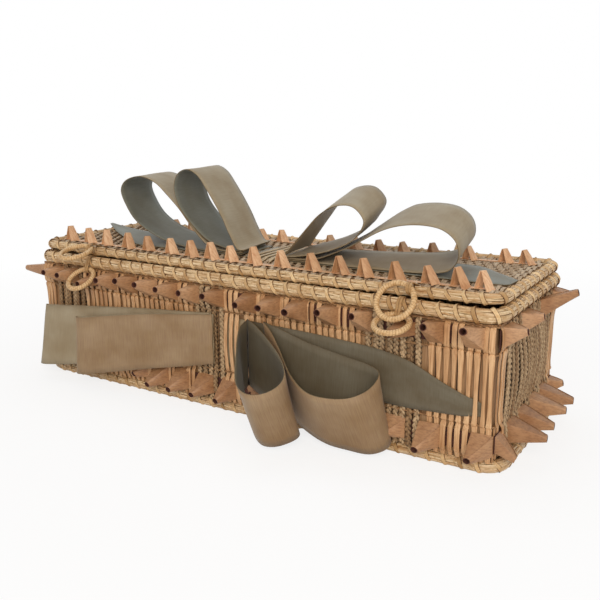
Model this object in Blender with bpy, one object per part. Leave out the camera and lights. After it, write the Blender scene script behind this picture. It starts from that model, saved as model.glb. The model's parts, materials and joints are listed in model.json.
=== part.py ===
"""Lidded ash splint box with folded splint points, sweetgrass rings and ribbon bows.

Metres, +Z up, +X along the box's length, the front faces -Y. The origin is the middle of the
underside of the floor, on the surface that the box stands on.
"""
import math

import bpy
import bmesh
from mathutils import Vector

MM = 0.001
FLATNESS = 0.01 * MM            # a four-sided face further from flat than this is built as two triangles

# Box
BOX_LENGTH = 305.0 * MM         # between the body rim's centre lines, along X
BOX_WIDTH = 104.2 * MM          # between the body rim's centre lines, along Y
TOUCH_GAP = 0.3 * MM            # air between pieces that touch
RUN_GAP = 0.6 * MM              # air around a piece that turns

# Rims, each a bundle of grass and splint
BODY_RIM_HEIGHT = 78.7 * MM     # centre line above the table
BODY_RIM_RADIUS = 3.5 * MM
BODY_RIM_CORNER = 8.5 * MM
LID_RIM_RADIUS = 2.6 * MM
LID_RIM_CORNER = 8.0 * MM
LID_RIM_INSET = 3.05 * MM       # lid rim inside the body rim, on the long sides
LID_END_INSET = 0.35 * MM       # the same at the ends
LID_BOW = 1.6 * MM              # the lid's ends stand this much over its middle
RIM_SEAT_GAP = 0.7 * MM         # between the two rims, where the lashing passes
FOOT_RIM_RADIUS = 3.1 * MM
FOOT_RIM_CORNER = 10.0 * MM
FOOT_RIM_INSET = 2.75 * MM      # foot rim inside the body rim, on the long sides
FOOT_END_OUTSET = 3.0 * MM      # and outside it at the ends
RIM_SIDES = 8
RIM_CORNER_STEPS = 3
LID_RIM_SIDE_STEPS = 8

# Walls
LINER_THICK = 1.0 * MM
LINER_SETBACK = 1.1 * MM        # liner's outer face inside the body rim's centre line
FLOOR_THICK = 1.6 * MM
SPLINT_THICK = 1.0 * MM
SPLINT_WIDTH = 2.6 * MM
SPLINT_PITCH = 3.89 * MM
SPINE_HEIGHT = 1.5 * MM         # the foot strip that joins each wall's splints, and its braids
BRAID_WIDTH = 3.9 * MM
BRAID_PITCH = 4.8 * MM
WEAVER_WIDTH = 2.0 * MM
WEAVER_THICK = 0.8 * MM
# Spans of braid, as shares of the half length or half width of the box
LONG_BRAID_SPAN_SHARES = ((-0.915, -0.765), (-0.165, -0.043), (0.562, 0.762))
END_BRAID_SPAN_SHARES = ((-0.74, 0.74),)

# Folded points on the walls: each row is one strip, folded out into four-sided points
POINT_STRIP_THICK = 0.6 * MM
POINT_WAIST_HEIGHT = 5.0 * MM   # the strip between two points
POINT_WAIST_SLOPE = 0.8 * MM
POINT_SLOPE_SHARE = 1 / 3       # the most of the space between two points that a slope takes up
POINT_HALF_WIDTH = 5.7 * MM
POINT_HALF_HEIGHT = 5.3 * MM
POINT_TIP_RADIUS = 1.7 * MM
RIM_POINT_GAP = 1.8 * MM        # between the body rim and the upper points
FOOT_POINT_GAP = 4.5 * MM       # between the foot rim and the lower points
UPPER_WEAVER_GAP = 1.2 * MM     # between the upper points and the weaver under them
LOWER_WEAVER_GAP = 2.7 * MM     # between the lower points and the weaver over them
SIDE_POINT_REACH = 15.0 * MM    # tip beyond the liner's outer face
SIDE_POINT_LEAN = 4.2 * MM      # tip to the left of the middle of its base
UPPER_TIP_RISE = 3.6 * MM
LOWER_TIP_DROP = 3.0 * MM
LOWER_REACH_SHARE = 0.85
END_ROW_INSET = 6.4 * MM        # outermost tips on the ends, inside the box's long faces
# Points on the ends: place of the tip as a share of its row's half width, reach, rise, size of the base
RIGHT_UPPER_ROW = ((-0.919, 12.0 * MM, 3.4 * MM, 1.0), (-0.306, 12.0 * MM, 3.4 * MM, 1.0),
                   (0.372, 21.0 * MM, 11.0 * MM, 1.0), (0.919, 12.0 * MM, 3.4 * MM, 1.0))
LEFT_UPPER_ROW = ((-0.919, 12.0 * MM, 3.4 * MM, 1.0), (-0.306, 12.0 * MM, 3.4 * MM, 1.0),
                  (0.306, 12.0 * MM, 3.4 * MM, 1.0), (1.0, 23.0 * MM, -1.0 * MM, 0.75))
RIGHT_LOWER_ROW = ((-1.0, 11.0 * MM, -7.4 * MM, 0.8), (-0.613, 21.0 * MM, -1.0 * MM, 1.0),
                   (-0.219, 20.0 * MM, -1.0 * MM, 1.0), (0.219, 21.0 * MM, 0.0, 1.0),
                   (0.613, 20.5 * MM, 0.0, 1.0), (1.0, 10.5 * MM, 2.6 * MM, 0.8))
LEFT_LOWER_ROW = ((-1.0, 11.0 * MM, 2.6 * MM, 0.8), (-0.613, 20.0 * MM, 0.0, 1.0),
                  (-0.219, 20.0 * MM, 0.0, 1.0), (0.219, 20.0 * MM, -1.0 * MM, 1.0),
                  (0.613, 20.0 * MM, -1.0 * MM, 1.0), (1.0, 17.0 * MM, -10.0 * MM, 0.8))
PRESSED_REACH_SHARE = 0.42      # lower points that the ribbon lies over
PRESSED_SPAN_SHARES = ((-1.0, -0.42), (0.05, 0.70))     # where they are, along the half length
HOOKED_SIZE_SHARES = (0.8, 0.6)     # width and height of the points that pass through the body rings
HOOKED_TIP_DROP = 0.8 * MM
# Tips along the front, as shares of the box's half length
FRONT_UPPER_TIP_SHARES = (-0.902, -0.823, -0.707, -0.599, -0.494, -0.388, -0.282, -0.171, -0.055,
                          0.088, 0.186, 0.298, 0.424, 0.548, 0.685, 0.797, 0.925)
FRONT_LOWER_TIP_SHARES = (-0.925, -0.830, -0.725, -0.615, -0.475, -0.365, -0.258, -0.144, -0.029,
                          0.094, 0.205, 0.316, 0.427, 0.538, 0.649, 0.773, 0.945)
BACK_POINT_COUNT = 17
BACK_POINT_PITCH = 17.2 * MM

# Lid
LID_PANEL_THICK = 0.8 * MM
LID_SPLINT_THICK = 0.8 * MM
LID_SPLINT_PITCH = 5.0 * MM
LID_SPLINT_WIDTH = 3.6 * MM
LID_PANEL_RISE = 0.5 * MM       # panel's top over the lid rim's centre line
LID_PANEL_STEPS = 16
LID_SPLINT_MARGIN = 4.6 * MM    # splint ends inside the lid panel's edge
TENT_HALF_WIDTH = 5.2 * MM
TENT_HALF_DEPTH = 3.8 * MM
TENT_WAIST_HEIGHT = 3.0 * MM
TENT_HEIGHT = 9.6 * MM
TENT_TIP_RADIUS = 1.3 * MM
TENT_LEAN = 3.2 * MM
FRONT_TENT_INSET = 11.05 * MM   # rows of tents inside the lid rim's centre line
BACK_TENT_INSET = 16.05 * MM
FRONT_TENT_SHARES = (-0.926, -0.814, -0.714, -0.594, -0.482, -0.359, -0.256, -0.160, -0.063,
                     0.043, 0.164, 0.295, 0.406, 0.502, 0.620, 0.738, 0.839, 0.917)
BACK_TENT_SHARES = (-0.93, -0.83, -0.735, -0.637, -0.54, -0.44, -0.34, -0.24, -0.138,
                    -0.016, 0.105, 0.22, 0.329, 0.434, 0.558, 0.703, 0.841, 0.917)

# Hinge rings, and the two pairs of closing rings
HINGE_SPACING = 189.2 * MM      # between the two hinge rings
HINGE_RADIUS = 5.2 * MM         # from the hinge axis to each rim's centre line
HINGE_RING_TUBE = 1.3 * MM      # tube radius
RING_RADIUS = 9.5 * MM          # to the middle of the tube
RING_TUBE = 1.5 * MM
RING_STEPS = 20
RING_SIDES = 6
BODY_RING_RADIUS = 8.5 * MM
TIE_TUBE = 0.4 * MM
TIE_SIDES = 4
TIE_STEPS = 7
# Where each closing ring is tied along X, as shares of the half length
LID_RING_LEFT_SHARE = -0.690
LID_RING_RIGHT_SHARE = 0.720
BODY_RING_LEFT_SHARE = -0.707
BODY_RING_RIGHT_SHARE = 0.685
LID_TIE_ANGLE = 24.0            # degrees above level, from rim to ring
BODY_TIE_ANGLE = -50.0
# Degrees that each ring is turned round its tie and leans out at the bottom
LID_RING_LEFT_TURN, LID_RING_LEFT_LEAN = 38.0, 75.0
LID_RING_RIGHT_TURN, LID_RING_RIGHT_LEAN = 38.0, 35.0
BODY_RING_LEFT_TURN, BODY_RING_LEFT_LEAN = 0.0, 55.0
BODY_RING_RIGHT_TURN, BODY_RING_RIGHT_LEAN = 0.0, 72.0

# Ribbon
RIBBON_WIDTH = 38.1 * MM
RIBBON_THICK = 0.5 * MM
RIBBON_STACK = 0.9 * MM         # from one layer of ribbon to the next
RIBBON_STEPS = 3                # faces between two points of a loop's outline
RIBBON_LIFT_SHARE = 0.3         # of a loop, over which its back edge rises from the knot
LID_RIBBON_FRONT = 24.0 * MM    # ribbon's front edge before the lid's middle line
# Outline of each lid loop: shares of its reach along X and of its rise over the lid
LOOP_A_REACH, LOOP_A_RISE = 107.5 * MM, 43.5 * MM
LOOP_A_SHARES = ((0.115, 0.0), (0.45, 0.03), (0.66, 0.10), (0.80, 0.22), (0.90, 0.37),
                 (0.965, 0.57), (1.0, 0.77), (0.97, 0.91), (0.90, 0.985), (0.82, 1.0),
                 (0.72, 0.92), (0.64, 0.77), (0.55, 0.575), (0.475, 0.37), (0.37, 0.13),
                 (0.28, 0.05), (0.20, 0.0), (0.115, 0.0))
LOOP_B_REACH, LOOP_B_RISE = 62.5 * MM, 49.2 * MM
LOOP_B_SHARES = ((0.20, 0.0), (0.37, 0.075), (0.58, 0.14), (0.745, 0.28), (0.90, 0.47),
                 (0.975, 0.625), (1.0, 0.78), (0.96, 0.925), (0.875, 0.995), (0.79, 0.995),
                 (0.69, 0.925), (0.60, 0.785), (0.50, 0.61), (0.41, 0.43), (0.345, 0.27),
                 (0.275, 0.13), (0.20, 0.0))
LOOP_C_REACH, LOOP_C_RISE = 66.5 * MM, 34.2 * MM
LOOP_C_SHARES = ((0.26, 0.10), (0.33, 0.245), (0.46, 0.53), (0.585, 0.79), (0.705, 0.94),
                 (0.825, 0.995), (0.915, 0.965), (0.985, 0.84), (1.0, 0.72), (0.95, 0.545),
                 (0.86, 0.39), (0.635, 0.21), (0.38, 0.095), (0.26, 0.0))
LOOP_D_REACH, LOOP_D_RISE = 122.0 * MM, 24.5 * MM
LOOP_D_SHARES = ((0.14, 0.0), (0.30, 0.10), (0.45, 0.37), (0.53, 0.55), (0.65, 0.905),
                 (0.73, 0.985), (0.815, 1.0), (0.90, 0.965), (0.955, 0.84), (0.99, 0.64),
                 (1.0, 0.41), (0.975, 0.23), (0.93, 0.13), (0.82, 0.07), (0.58, 0.045),
                 (0.30, 0.0), (0.14, 0.0))
# Direction of each lid loop's width, front edge to back edge, as shares of the ribbon's width
LOOP_A_WIDTH_SHARES = (-0.20, 0.975, 0.0)
LOOP_B_WIDTH_SHARES = (-0.145, 0.98, 0.0)
LOOP_C_WIDTH_SHARES = (-0.12, 0.97, 0.19)
LOOP_D_WIDTH_SHARES = (-0.12, 0.97, 0.19)
# Lid tails: share of the reach, then the front and the back edge as shares of the ribbon's width
TAIL_LEFT_REACH = 149.0 * MM
TAIL_LEFT_SHARES = ((0.10, 0.0, 0.98), (0.30, -0.03, 0.96), (0.50, -0.08, 0.93), (0.62, -0.10, 0.915),
                    (0.74, 0.14, 0.89), (0.86, 0.40, 0.86), (0.94, 0.60, 0.84), (1.0, 0.76, 0.82))
TAIL_LEFT_LIFT = 4.5 * MM       # the tip stands off the lid
TAIL_LIFT_POWER = 6             # so that only the last stretch rises
TAIL_RIGHT_REACH = 148.0 * MM
TAIL_RIGHT_SHARES = ((0.12, 0.0, 1.0), (0.30, 0.0, 1.0), (0.50, -0.01, 1.0), (0.66, -0.02, 1.0),
                     (0.80, -0.02, 1.0), (0.90, 0.0, 0.59), (1.0, 0.0, 0.18))
KNOT_REACH = 11.5 * MM          # half the length of the flat band under the knot splints
LID_KNOT_COUNT = 4
LID_KNOT_PITCH = 4.2 * MM
LID_KNOT_OFFSET = 2.5 * MM      # middle of the knot splints, right of the box's middle
KNOT_OVERHANG = 2.0 * MM

# Front bow, on the front wall
BOWED_SPAN_SHARES = (-0.025, 0.062)     # wall splints that go over the ribbon, along the half length
BAND_TOP_GAP = 2.1 * MM         # from the upper weaver down to the gathered band
BAND_FOOT_GAP = 2.0 * MM        # from the lower weaver up to it
LONG_LOOP_REACH = 148.0 * MM
SHORT_LOOP_REACH = 112.0 * MM
# Along the reach, stand-off of the top and bottom edges, and height of both edges, all as shares
LONG_LOOP_SHARES = ((0.085, 0.0, 0.0, 0.985, 0.50), (0.25, 0.0, 0.08, 0.95, 0.43),
                    (0.50, 0.03, 0.30, 0.90, 0.335), (0.75, 0.10, 0.75, 0.84, 0.235),
                    (0.96, 0.16, 1.0, 0.79, 0.155))
SHORT_LOOP_SHARES = ((0.085, 0.0, 0.0, 0.985, 0.50), (0.25, 0.07, 0.06, 0.95, 0.43),
                     (0.50, 0.30, 0.20, 0.90, 0.335), (0.75, 0.62, 0.44, 0.84, 0.235),
                     (0.96, 0.92, 0.72, 0.785, 0.155))
FLAT_LOOP_DROP = 0.6 * MM       # loops' full height, under the upper weaver's middle
FLAT_LOOP_STANDOFF = 9.6 * MM   # bottom edge before the weavers, over the pressed points
FLAT_LOOP_GAP = 3.4 * MM        # between the two sides of a flattened loop
SHORT_LOOP_SPACES = (0.8 * MM, 2.5 * MM)    # from the long loop to the short one on it, at knot and tip
# Open loops: plan of the top edge, its height, and the lean of the ribbon, as shares
SMALL_LOOP_REACH = 48.0 * MM    # before the front wall's splints
SMALL_LOOP_SHARES = ((0.27, 0.0, 1.0, 0.0), (0.33, 0.25, 0.96, 0.15), (0.52, 0.57, 0.80, 0.55),
                     (0.72, 0.86, 0.66, 0.92), (0.90, 0.99, 0.62, 1.0), (1.04, 0.985, 0.60, 1.0),
                     (1.15, 0.90, 0.60, 0.95), (1.185, 0.76, 0.62, 0.85), (1.13, 0.61, 0.66, 0.70),
                     (0.98, 0.44, 0.76, 0.45), (0.74, 0.27, 0.88, 0.22), (0.45, 0.10, 0.98, 0.0))
LARGE_LOOP_REACH = 33.0 * MM
LARGE_LOOP_SHARES = ((0.72, 0.0, 1.0, 0.0), (0.95, 0.14, 0.95, 0.0), (1.25, 0.37, 0.86, 0.35),
                     (1.70, 0.73, 0.72, 0.80), (2.10, 0.93, 0.66, 1.0), (2.42, 0.88, 0.63, 1.0),
                     (2.68, 0.74, 0.62, 0.85), (2.84, 0.56, 0.63, 0.6), (2.90, 0.37, 0.66, 0.3),
                     (2.84, 0.20, 0.70, 0.0), (2.60, 0.11, 0.75, -0.3), (2.20, 0.08, 0.80, -0.35),
                     (1.60, 0.07, 0.89, -0.2), (1.05, 0.06, 0.97, 0.0))
OPEN_LOOP_DROP = 1.6 * MM       # the same for the open loops
SMALL_LOOP_LEAN = 20.5 * MM     # bottom edge nearer the wall than the top edge, at full lean
LARGE_LOOP_LEAN = 18.0 * MM
# Front tail: corners as shares of its reach along X and of the space from lower weaver to band top
FRONT_TAIL_REACH = 148.0 * MM
FRONT_TAIL_SHARES = ((0.095, 0.16), (0.60, 0.042), (0.72, 0.042), (0.975, 0.133), (0.975, 0.352),
                     (0.70, 0.863), (0.45, 0.973), (0.095, 1.018))

HALF_LENGTH = BOX_LENGTH / 2
HALF_WIDTH = BOX_WIDTH / 2
LINER_TOP = BODY_RIM_HEIGHT - BODY_RIM_RADIUS - TOUCH_GAP
WALL_FOOT = 2 * FOOT_RIM_RADIUS + TOUCH_GAP
SPLINT_FACE = TOUCH_GAP + SPLINT_THICK                  # outer faces, beyond the liner's
WEAVER_FACE = SPLINT_FACE + TOUCH_GAP + WEAVER_THICK
BOWED_SHIFT = RIBBON_THICK + TOUCH_GAP
UPPER_POINT_HEIGHT = BODY_RIM_HEIGHT - BODY_RIM_RADIUS - RIM_POINT_GAP - POINT_HALF_HEIGHT
LOWER_POINT_HEIGHT = 2 * FOOT_RIM_RADIUS + FOOT_POINT_GAP + POINT_HALF_HEIGHT
UPPER_WEAVER_HEIGHT = UPPER_POINT_HEIGHT - POINT_HALF_HEIGHT - UPPER_WEAVER_GAP - WEAVER_WIDTH / 2
LOWER_WEAVER_HEIGHT = LOWER_POINT_HEIGHT + POINT_HALF_HEIGHT + LOWER_WEAVER_GAP + WEAVER_WIDTH / 2
LOWER_WEAVER_TOP = LOWER_WEAVER_HEIGHT + WEAVER_WIDTH / 2
FRONT_BAND_TOP = UPPER_WEAVER_HEIGHT - WEAVER_WIDTH / 2 - BAND_TOP_GAP
FLAT_LOOP_TOP = UPPER_WEAVER_HEIGHT - FLAT_LOOP_DROP
OPEN_LOOP_TOP = UPPER_WEAVER_HEIGHT - OPEN_LOOP_DROP
END_ROW_HALF = HALF_WIDTH - END_ROW_INSET
LID_HALF_LENGTH = HALF_LENGTH - LID_END_INSET
LID_HALF_WIDTH = HALF_WIDTH - LID_RIM_INSET
FRONT_TENT_LINE = LID_HALF_WIDTH - FRONT_TENT_INSET     # before and behind the lid's long middle line
BACK_TENT_LINE = LID_HALF_WIDTH - BACK_TENT_INSET
LID_RIM_LOW = BODY_RIM_HEIGHT + math.sqrt((BODY_RIM_RADIUS + LID_RIM_RADIUS + RIM_SEAT_GAP) ** 2
                                          - LID_RIM_INSET ** 2)
HINGE_RING_RADIUS = HINGE_RADIUS + BODY_RIM_RADIUS + TOUCH_GAP + HINGE_RING_TUBE
SPLINTS_TOP_RISE = LID_PANEL_RISE + TOUCH_GAP + LID_SPLINT_THICK
RIBBON_BASE = LID_RIM_LOW + SPLINTS_TOP_RISE + TOUCH_GAP + RIBBON_THICK / 2


def material(name, colour, roughness):
    """A plain Principled material; colours are linear."""
    mat = bpy.data.materials.new(name)
    mat.use_nodes = True
    shader = mat.node_tree.nodes["Principled BSDF"]
    shader.inputs["Base Color"].default_value = (*colour, 1.0)
    shader.inputs["Roughness"].default_value = roughness
    mat.diffuse_color = (*colour, 1.0)
    return mat


def is_warped(face):
    """Whether a face's corners don't lie in one plane."""
    middle = face.calc_center_median()
    return any(abs((corner.co - middle).dot(face.normal)) > FLATNESS for corner in face.verts)


BLOCK_FACES = [(0, 3, 2, 1), (4, 5, 6, 7), (0, 1, 5, 4), (1, 2, 6, 5), (2, 3, 7, 6), (3, 0, 4, 7)]


class Solids:
    """Collects closed bodies that become one object."""

    def __init__(self, name, finish, pivot=None, parent=None):
        self.name, self.finish, self.pivot, self.parent = name, finish, pivot, parent
        self.points, self.faces = [], []

    def add(self, points, faces):
        start = len(self.points)
        self.points += [Vector(p) for p in points]
        self.faces += [[start + i for i in face] for face in faces]

    def block(self, low, high):
        """A box between two corners."""
        (x0, y0, z0), (x1, y1, z1) = low, high
        corners = [(x0, y0, z0), (x1, y0, z0), (x1, y1, z0), (x0, y1, z0),
                   (x0, y0, z1), (x1, y0, z1), (x1, y1, z1), (x0, y1, z1)]
        self.add(corners, BLOCK_FACES)

    def loft(self, rings, closed=False):
        """Skin over a row of rings that have the same number of points, with flat ends."""
        sides = len(rings[0])
        points = [p for ring in rings for p in ring]
        count = len(rings)
        faces = []
        for i in range(count if closed else count - 1):
            j = (i + 1) % count
            for k in range(sides):
                m = (k + 1) % sides
                faces.append((i * sides + k, i * sides + m, j * sides + m, j * sides + k))
        if not closed:
            faces.append(tuple(reversed(range(sides))))
            faces.append(tuple(range((count - 1) * sides, count * sides)))
        self.add(points, faces)

    def build(self):
        mesh = bpy.data.meshes.new(self.name)
        origin = Vector(self.pivot) if self.pivot else Vector((0, 0, 0))
        mesh.from_pydata([p - origin for p in self.points], [], self.faces)
        shape = bmesh.new()
        shape.from_mesh(mesh)
        bmesh.ops.recalc_face_normals(shape, faces=shape.faces)
        bmesh.ops.triangulate(shape, faces=[face for face in shape.faces if is_warped(face)])
        shape.to_mesh(mesh)
        shape.free()
        mesh.materials.append(self.finish)
        piece = bpy.data.objects.new(self.name, mesh)
        bpy.context.collection.objects.link(piece)
        piece.location = origin
        if self.parent:
            piece.parent = self.parent
            piece.location = origin - self.parent.location
        return piece


def joint_empty(name, place, parent=None):
    """An empty that stands on a joint's axis."""
    empty = bpy.data.objects.new(name, None)
    bpy.context.collection.objects.link(empty)
    empty.location = Vector(place)
    if parent:
        empty.parent = parent
        empty.location = Vector(place) - parent.location
    return empty


class Wall:
    """One side of the box. Places are given along it, outwards from its liner's face, and up."""

    def __init__(self, name, half, face, turn):
        self.name, self.half, self.face, self.turn = name, half, face, turn

    def at(self, along, out, up):
        x, y = along, -(self.face + out)
        for _ in range(self.turn):
            x, y = -y, x
        return Vector((x, y, up))

    def block(self, solids, along, out, up):
        """A box with its ranges along, out and up."""
        corners = [self.at(a, o, u) for u in up for a, o in
                   ((along[0], out[0]), (along[1], out[0]), (along[1], out[1]), (along[0], out[1]))]
        solids.add(corners, BLOCK_FACES)


LONG_FACE = HALF_WIDTH - LINER_SETBACK
END_FACE = HALF_LENGTH - LINER_SETBACK
LONG_HALF = END_FACE - LINER_THICK - TOUCH_GAP
WALLS = (Wall("front", LONG_HALF, LONG_FACE, 0), Wall("right", LONG_FACE, END_FACE, 1),
         Wall("back", LONG_HALF, LONG_FACE, 2), Wall("left", LONG_FACE, END_FACE, 3))


def smooth(points, steps):
    """Points on a smooth curve through the given ones."""
    out = []
    for i in range(len(points) - 1):
        before = points[i - 1] if i > 0 else points[i] * 2 - points[i + 1]
        after = points[i + 2] if i + 2 < len(points) else points[i + 1] * 2 - points[i]
        here, there = points[i], points[i + 1]
        for k in range(steps):
            t = k / steps
            out.append(0.5 * (2 * here + (there - before) * t
                              + (2 * before - 5 * here + 4 * there - after) * t ** 2
                              + (3 * here - before - 3 * there + after) * t ** 3))
    out.append(points[-1].copy())
    return out


def round_rectangle(half_x, half_y, corner, corner_steps, side_steps=1):
    """Points round a rectangle with round corners, seen from above."""
    points = []
    for quarter in range(4):
        across = (half_x - corner) * (1 if quarter in (0, 3) else -1)
        deep = (half_y - corner) * (1 if quarter in (0, 1) else -1)
        arc = []
        for k in range(corner_steps + 1):
            angle = math.pi / 2 * (quarter + k / corner_steps)
            arc.append(Vector((across + corner * math.cos(angle), deep + corner * math.sin(angle), 0)))
        points += arc
        if quarter in (0, 2):
            following = Vector((-arc[-1].x, arc[-1].y, 0))
            points += [arc[-1].lerp(following, k / side_steps) for k in range(1, side_steps)]
    return points


def tube_rings(path, radius, sides, up=Vector((0, 0, 1))):
    """Rings of a tube round a closed path, with a flat side up."""
    rings = []
    for i, point in enumerate(path):
        along = (path[(i + 1) % len(path)] - path[i - 1]).normalized()
        side = along.cross(up).normalized()
        top = side.cross(along).normalized()
        rings.append([point + radius * (math.cos(a) * side + math.sin(a) * top)
                      for a in (2 * math.pi * (k + 0.5) / sides for k in range(sides))])
    return rings


def lid_height(x):
    """Height of the lid rim's centre line: the ends stand up a little."""
    return LID_RIM_LOW + LID_BOW * (x / LID_HALF_LENGTH) ** 2


def body_rim_path():
    return [p + Vector((0, 0, BODY_RIM_HEIGHT))
            for p in round_rectangle(HALF_LENGTH, HALF_WIDTH, BODY_RIM_CORNER, RIM_CORNER_STEPS)]


def lid_rim_path():
    plan = round_rectangle(LID_HALF_LENGTH, LID_HALF_WIDTH, LID_RIM_CORNER, RIM_CORNER_STEPS,
                           LID_RIM_SIDE_STEPS)
    return [p + Vector((0, 0, lid_height(p.x))) for p in plan]


def foot_rim_path():
    height = FOOT_RIM_RADIUS * math.cos(math.pi / RIM_SIDES)
    return [p + Vector((0, 0, height))
            for p in round_rectangle(HALF_LENGTH + FOOT_END_OUTSET, HALF_WIDTH - FOOT_RIM_INSET,
                                     FOOT_RIM_CORNER, RIM_CORNER_STEPS)]


def hinge_axis_place():
    """The lid's axis: as far from the body rim's centre line as from the lid rim's."""
    body = Vector((0, HALF_WIDTH, BODY_RIM_HEIGHT))
    lid = Vector((0, LID_HALF_WIDTH, lid_height(HINGE_SPACING / 2)))
    half = (lid - body) / 2
    outward = half.cross(Vector((1, 0, 0))).normalized()
    return body + half + outward * math.sqrt(HINGE_RADIUS ** 2 - half.length_squared)


HINGE_AXIS = hinge_axis_place()


def comb(solids, place, teeth, spine, layer):
    """One body: upright teeth on a spine. place maps (along, out, up).

    teeth holds (low, high, stations), and a station is (inner, outer, up). spine is its two
    ranges along and up, and the teeth stand on its second height.
    """
    (start, end), (foot, top) = spine
    inner, outer = layer
    marks = [start] + [mark for low, high, _ in teeth for mark in (low, high)] + [end]
    points, faces = [], []

    def add(along, out, up):
        points.append(place(along, out, up))
        return len(points) - 1

    section = ((inner, foot), (outer, foot), (outer, top), (inner, top))
    columns = [[add(mark, out, up) for out, up in section] for mark in marks]
    faces.append(tuple(reversed(columns[0])))
    faces.append(tuple(columns[-1]))
    for i in range(len(marks) - 1):
        here, there = columns[i], columns[i + 1]
        for k in range(4):
            m = (k + 1) % 4
            if k == 2 and i % 2 == 1:
                continue
            faces.append((here[k], here[m], there[m], there[k]))
        if i % 2 == 1:
            low, high, stations = teeth[i // 2]
            ring = [here[2], there[2], there[3], here[3]]
            for near_out, far_out, up in stations:
                following = [add(low, far_out, up), add(high, far_out, up),
                             add(high, near_out, up), add(low, near_out, up)]
                for k in range(4):
                    m = (k + 1) % 4
                    faces.append((ring[k], ring[m], following[m], following[k]))
                ring = following
            faces.append(tuple(ring))
    solids.add(points, faces)


def point_strip(solids, place, folds, height, waist, slope, start_end):
    """One body: a strip that is folded out into a row of four-sided points.

    A fold is (base middle, base half width, base half height, tip, tip radius), its tip as
    (along, out, up). place maps (along, out, up), out from the strip's back.
    """
    thick = POINT_STRIP_THICK
    marks = [(start_end[0], waist, None)]
    for i, fold in enumerate(folds):
        middle, half, tall, _, _ = fold
        before = marks[-1][0]
        easing = min(slope, (middle - half - before) * POINT_SLOPE_SHARE)
        if i == 0:
            marks.append((middle - half - easing, waist, None))
        else:
            marks.append((before + easing, waist, None))
            marks.append((middle - half - easing, waist, None))
        marks.append((middle - half, tall, fold))
        marks.append((middle + half, tall, None))
    marks.append((marks[-1][0] + slope, waist, None))
    marks.append((start_end[1], waist, None))
    points, faces = [], []

    def add(along, out, up):
        points.append(place(along, out, up))
        return len(points) - 1

    columns = []
    for mark, half, _ in marks:
        section = ((0.0, -half), (thick, -half), (thick, half), (0.0, half))
        columns.append([add(mark, out, height + up) for out, up in section])
    faces.append(tuple(reversed(columns[0])))
    faces.append(tuple(columns[-1]))
    for i in range(len(marks) - 1):
        here, there = columns[i], columns[i + 1]
        fold = marks[i][2]
        for k in range(4):
            m = (k + 1) % 4
            if k == 1 and fold:
                continue
            faces.append((here[k], here[m], there[m], there[k]))
        if fold:
            tip, radius = Vector(fold[3]), fold[4]
            axis = (tip - Vector((fold[0], 0.0, height))).normalized()
            side = (Vector((1, 0, 0)) - axis * axis.x).normalized()
            top = side.cross(axis) if side.cross(axis).z > 0 else axis.cross(side)
            corners = ((-1, -1), (1, -1), (1, 1), (-1, 1))
            mouth = [add(*(tip + radius * (a * side + b * top))) for a, b in corners]
            foot = [here[1], there[1], there[2], here[2]]
            for k in range(4):
                m = (k + 1) % 4
                faces.append((foot[k], foot[m], mouth[m], mouth[k]))
            faces.append(tuple(mouth))
    solids.add(points, faces)


def wall_outline(half, notches, top, depth):
    """Outline of a wall: a rectangle with notches in its top edge."""
    points = [(-half, WALL_FOOT), (half, WALL_FOOT), (half, top)]
    for place, notch_half in sorted(notches, reverse=True):
        points += [(place + notch_half, top), (place + notch_half, top - depth),
                   (place - notch_half, top - depth), (place - notch_half, top)]
    return points + [(-half, top)]


def liner(wall, finish, notches, depth):
    """The wide splints that make one side of the box."""
    solids = Solids(wall.name + "_wall_liner", finish)
    outline = wall_outline(wall.half, notches, LINER_TOP, depth)
    solids.loft([[wall.at(a, out, u) for a, u in outline] for out in (-LINER_THICK, 0.0)])
    return solids.build()


def spans_of(wall):
    """Braid spans of a wall, in metres along it. The back mirrors the front."""
    if wall.name in ("left", "right"):
        return [(low * HALF_WIDTH, high * HALF_WIDTH) for low, high in END_BRAID_SPAN_SHARES]
    return [(low * HALF_LENGTH, high * HALF_LENGTH) for low, high in LONG_BRAID_SPAN_SHARES]


def in_spans(value, spans, margin=0.0):
    return any(low - margin < value < high + margin for low, high in spans)


def tooth_top(along, half, notches, depth):
    """How high an upright reaches: it stops short under a tie or a hinge ring."""
    near = any(abs(along - place) < reach + half for place, reach in notches)
    return LINER_TOP - depth if near else LINER_TOP


def splint_places(wall):
    """Middles of a wall's splints, along it."""
    count = int(2 * wall.half / SPLINT_PITCH)
    return [(k + 0.5 - count / 2) * SPLINT_PITCH for k in range(count)]


def wall_splints(wall, finish, notches, depth, bowed=None):
    """Narrow upright splints of a wall; the bowed ones stop behind the lower weavers."""
    solids = Solids(wall.name + "_splints", finish)
    half = SPLINT_WIDTH / 2
    teeth = []
    for along in splint_places(wall):
        if in_spans(along, spans_of(wall), half):
            continue
        top = tooth_top(along, half, notches, depth)
        if bowed and bowed[0] < along < bowed[1]:
            top = LOWER_WEAVER_TOP
        teeth.append((along - half, along + half, [(TOUCH_GAP, SPLINT_FACE, top)]))
    comb(solids, wall.at, teeth, ((-wall.half, wall.half), (WALL_FOOT, WALL_FOOT + SPINE_HEIGHT)),
         (TOUCH_GAP, SPLINT_FACE))
    solids.build()


def bowed_places(bowed):
    """Where along the front the splints stand that go over the ribbon."""
    return [place for place in splint_places(WALLS[0]) if bowed[0] < place < bowed[1]]


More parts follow.
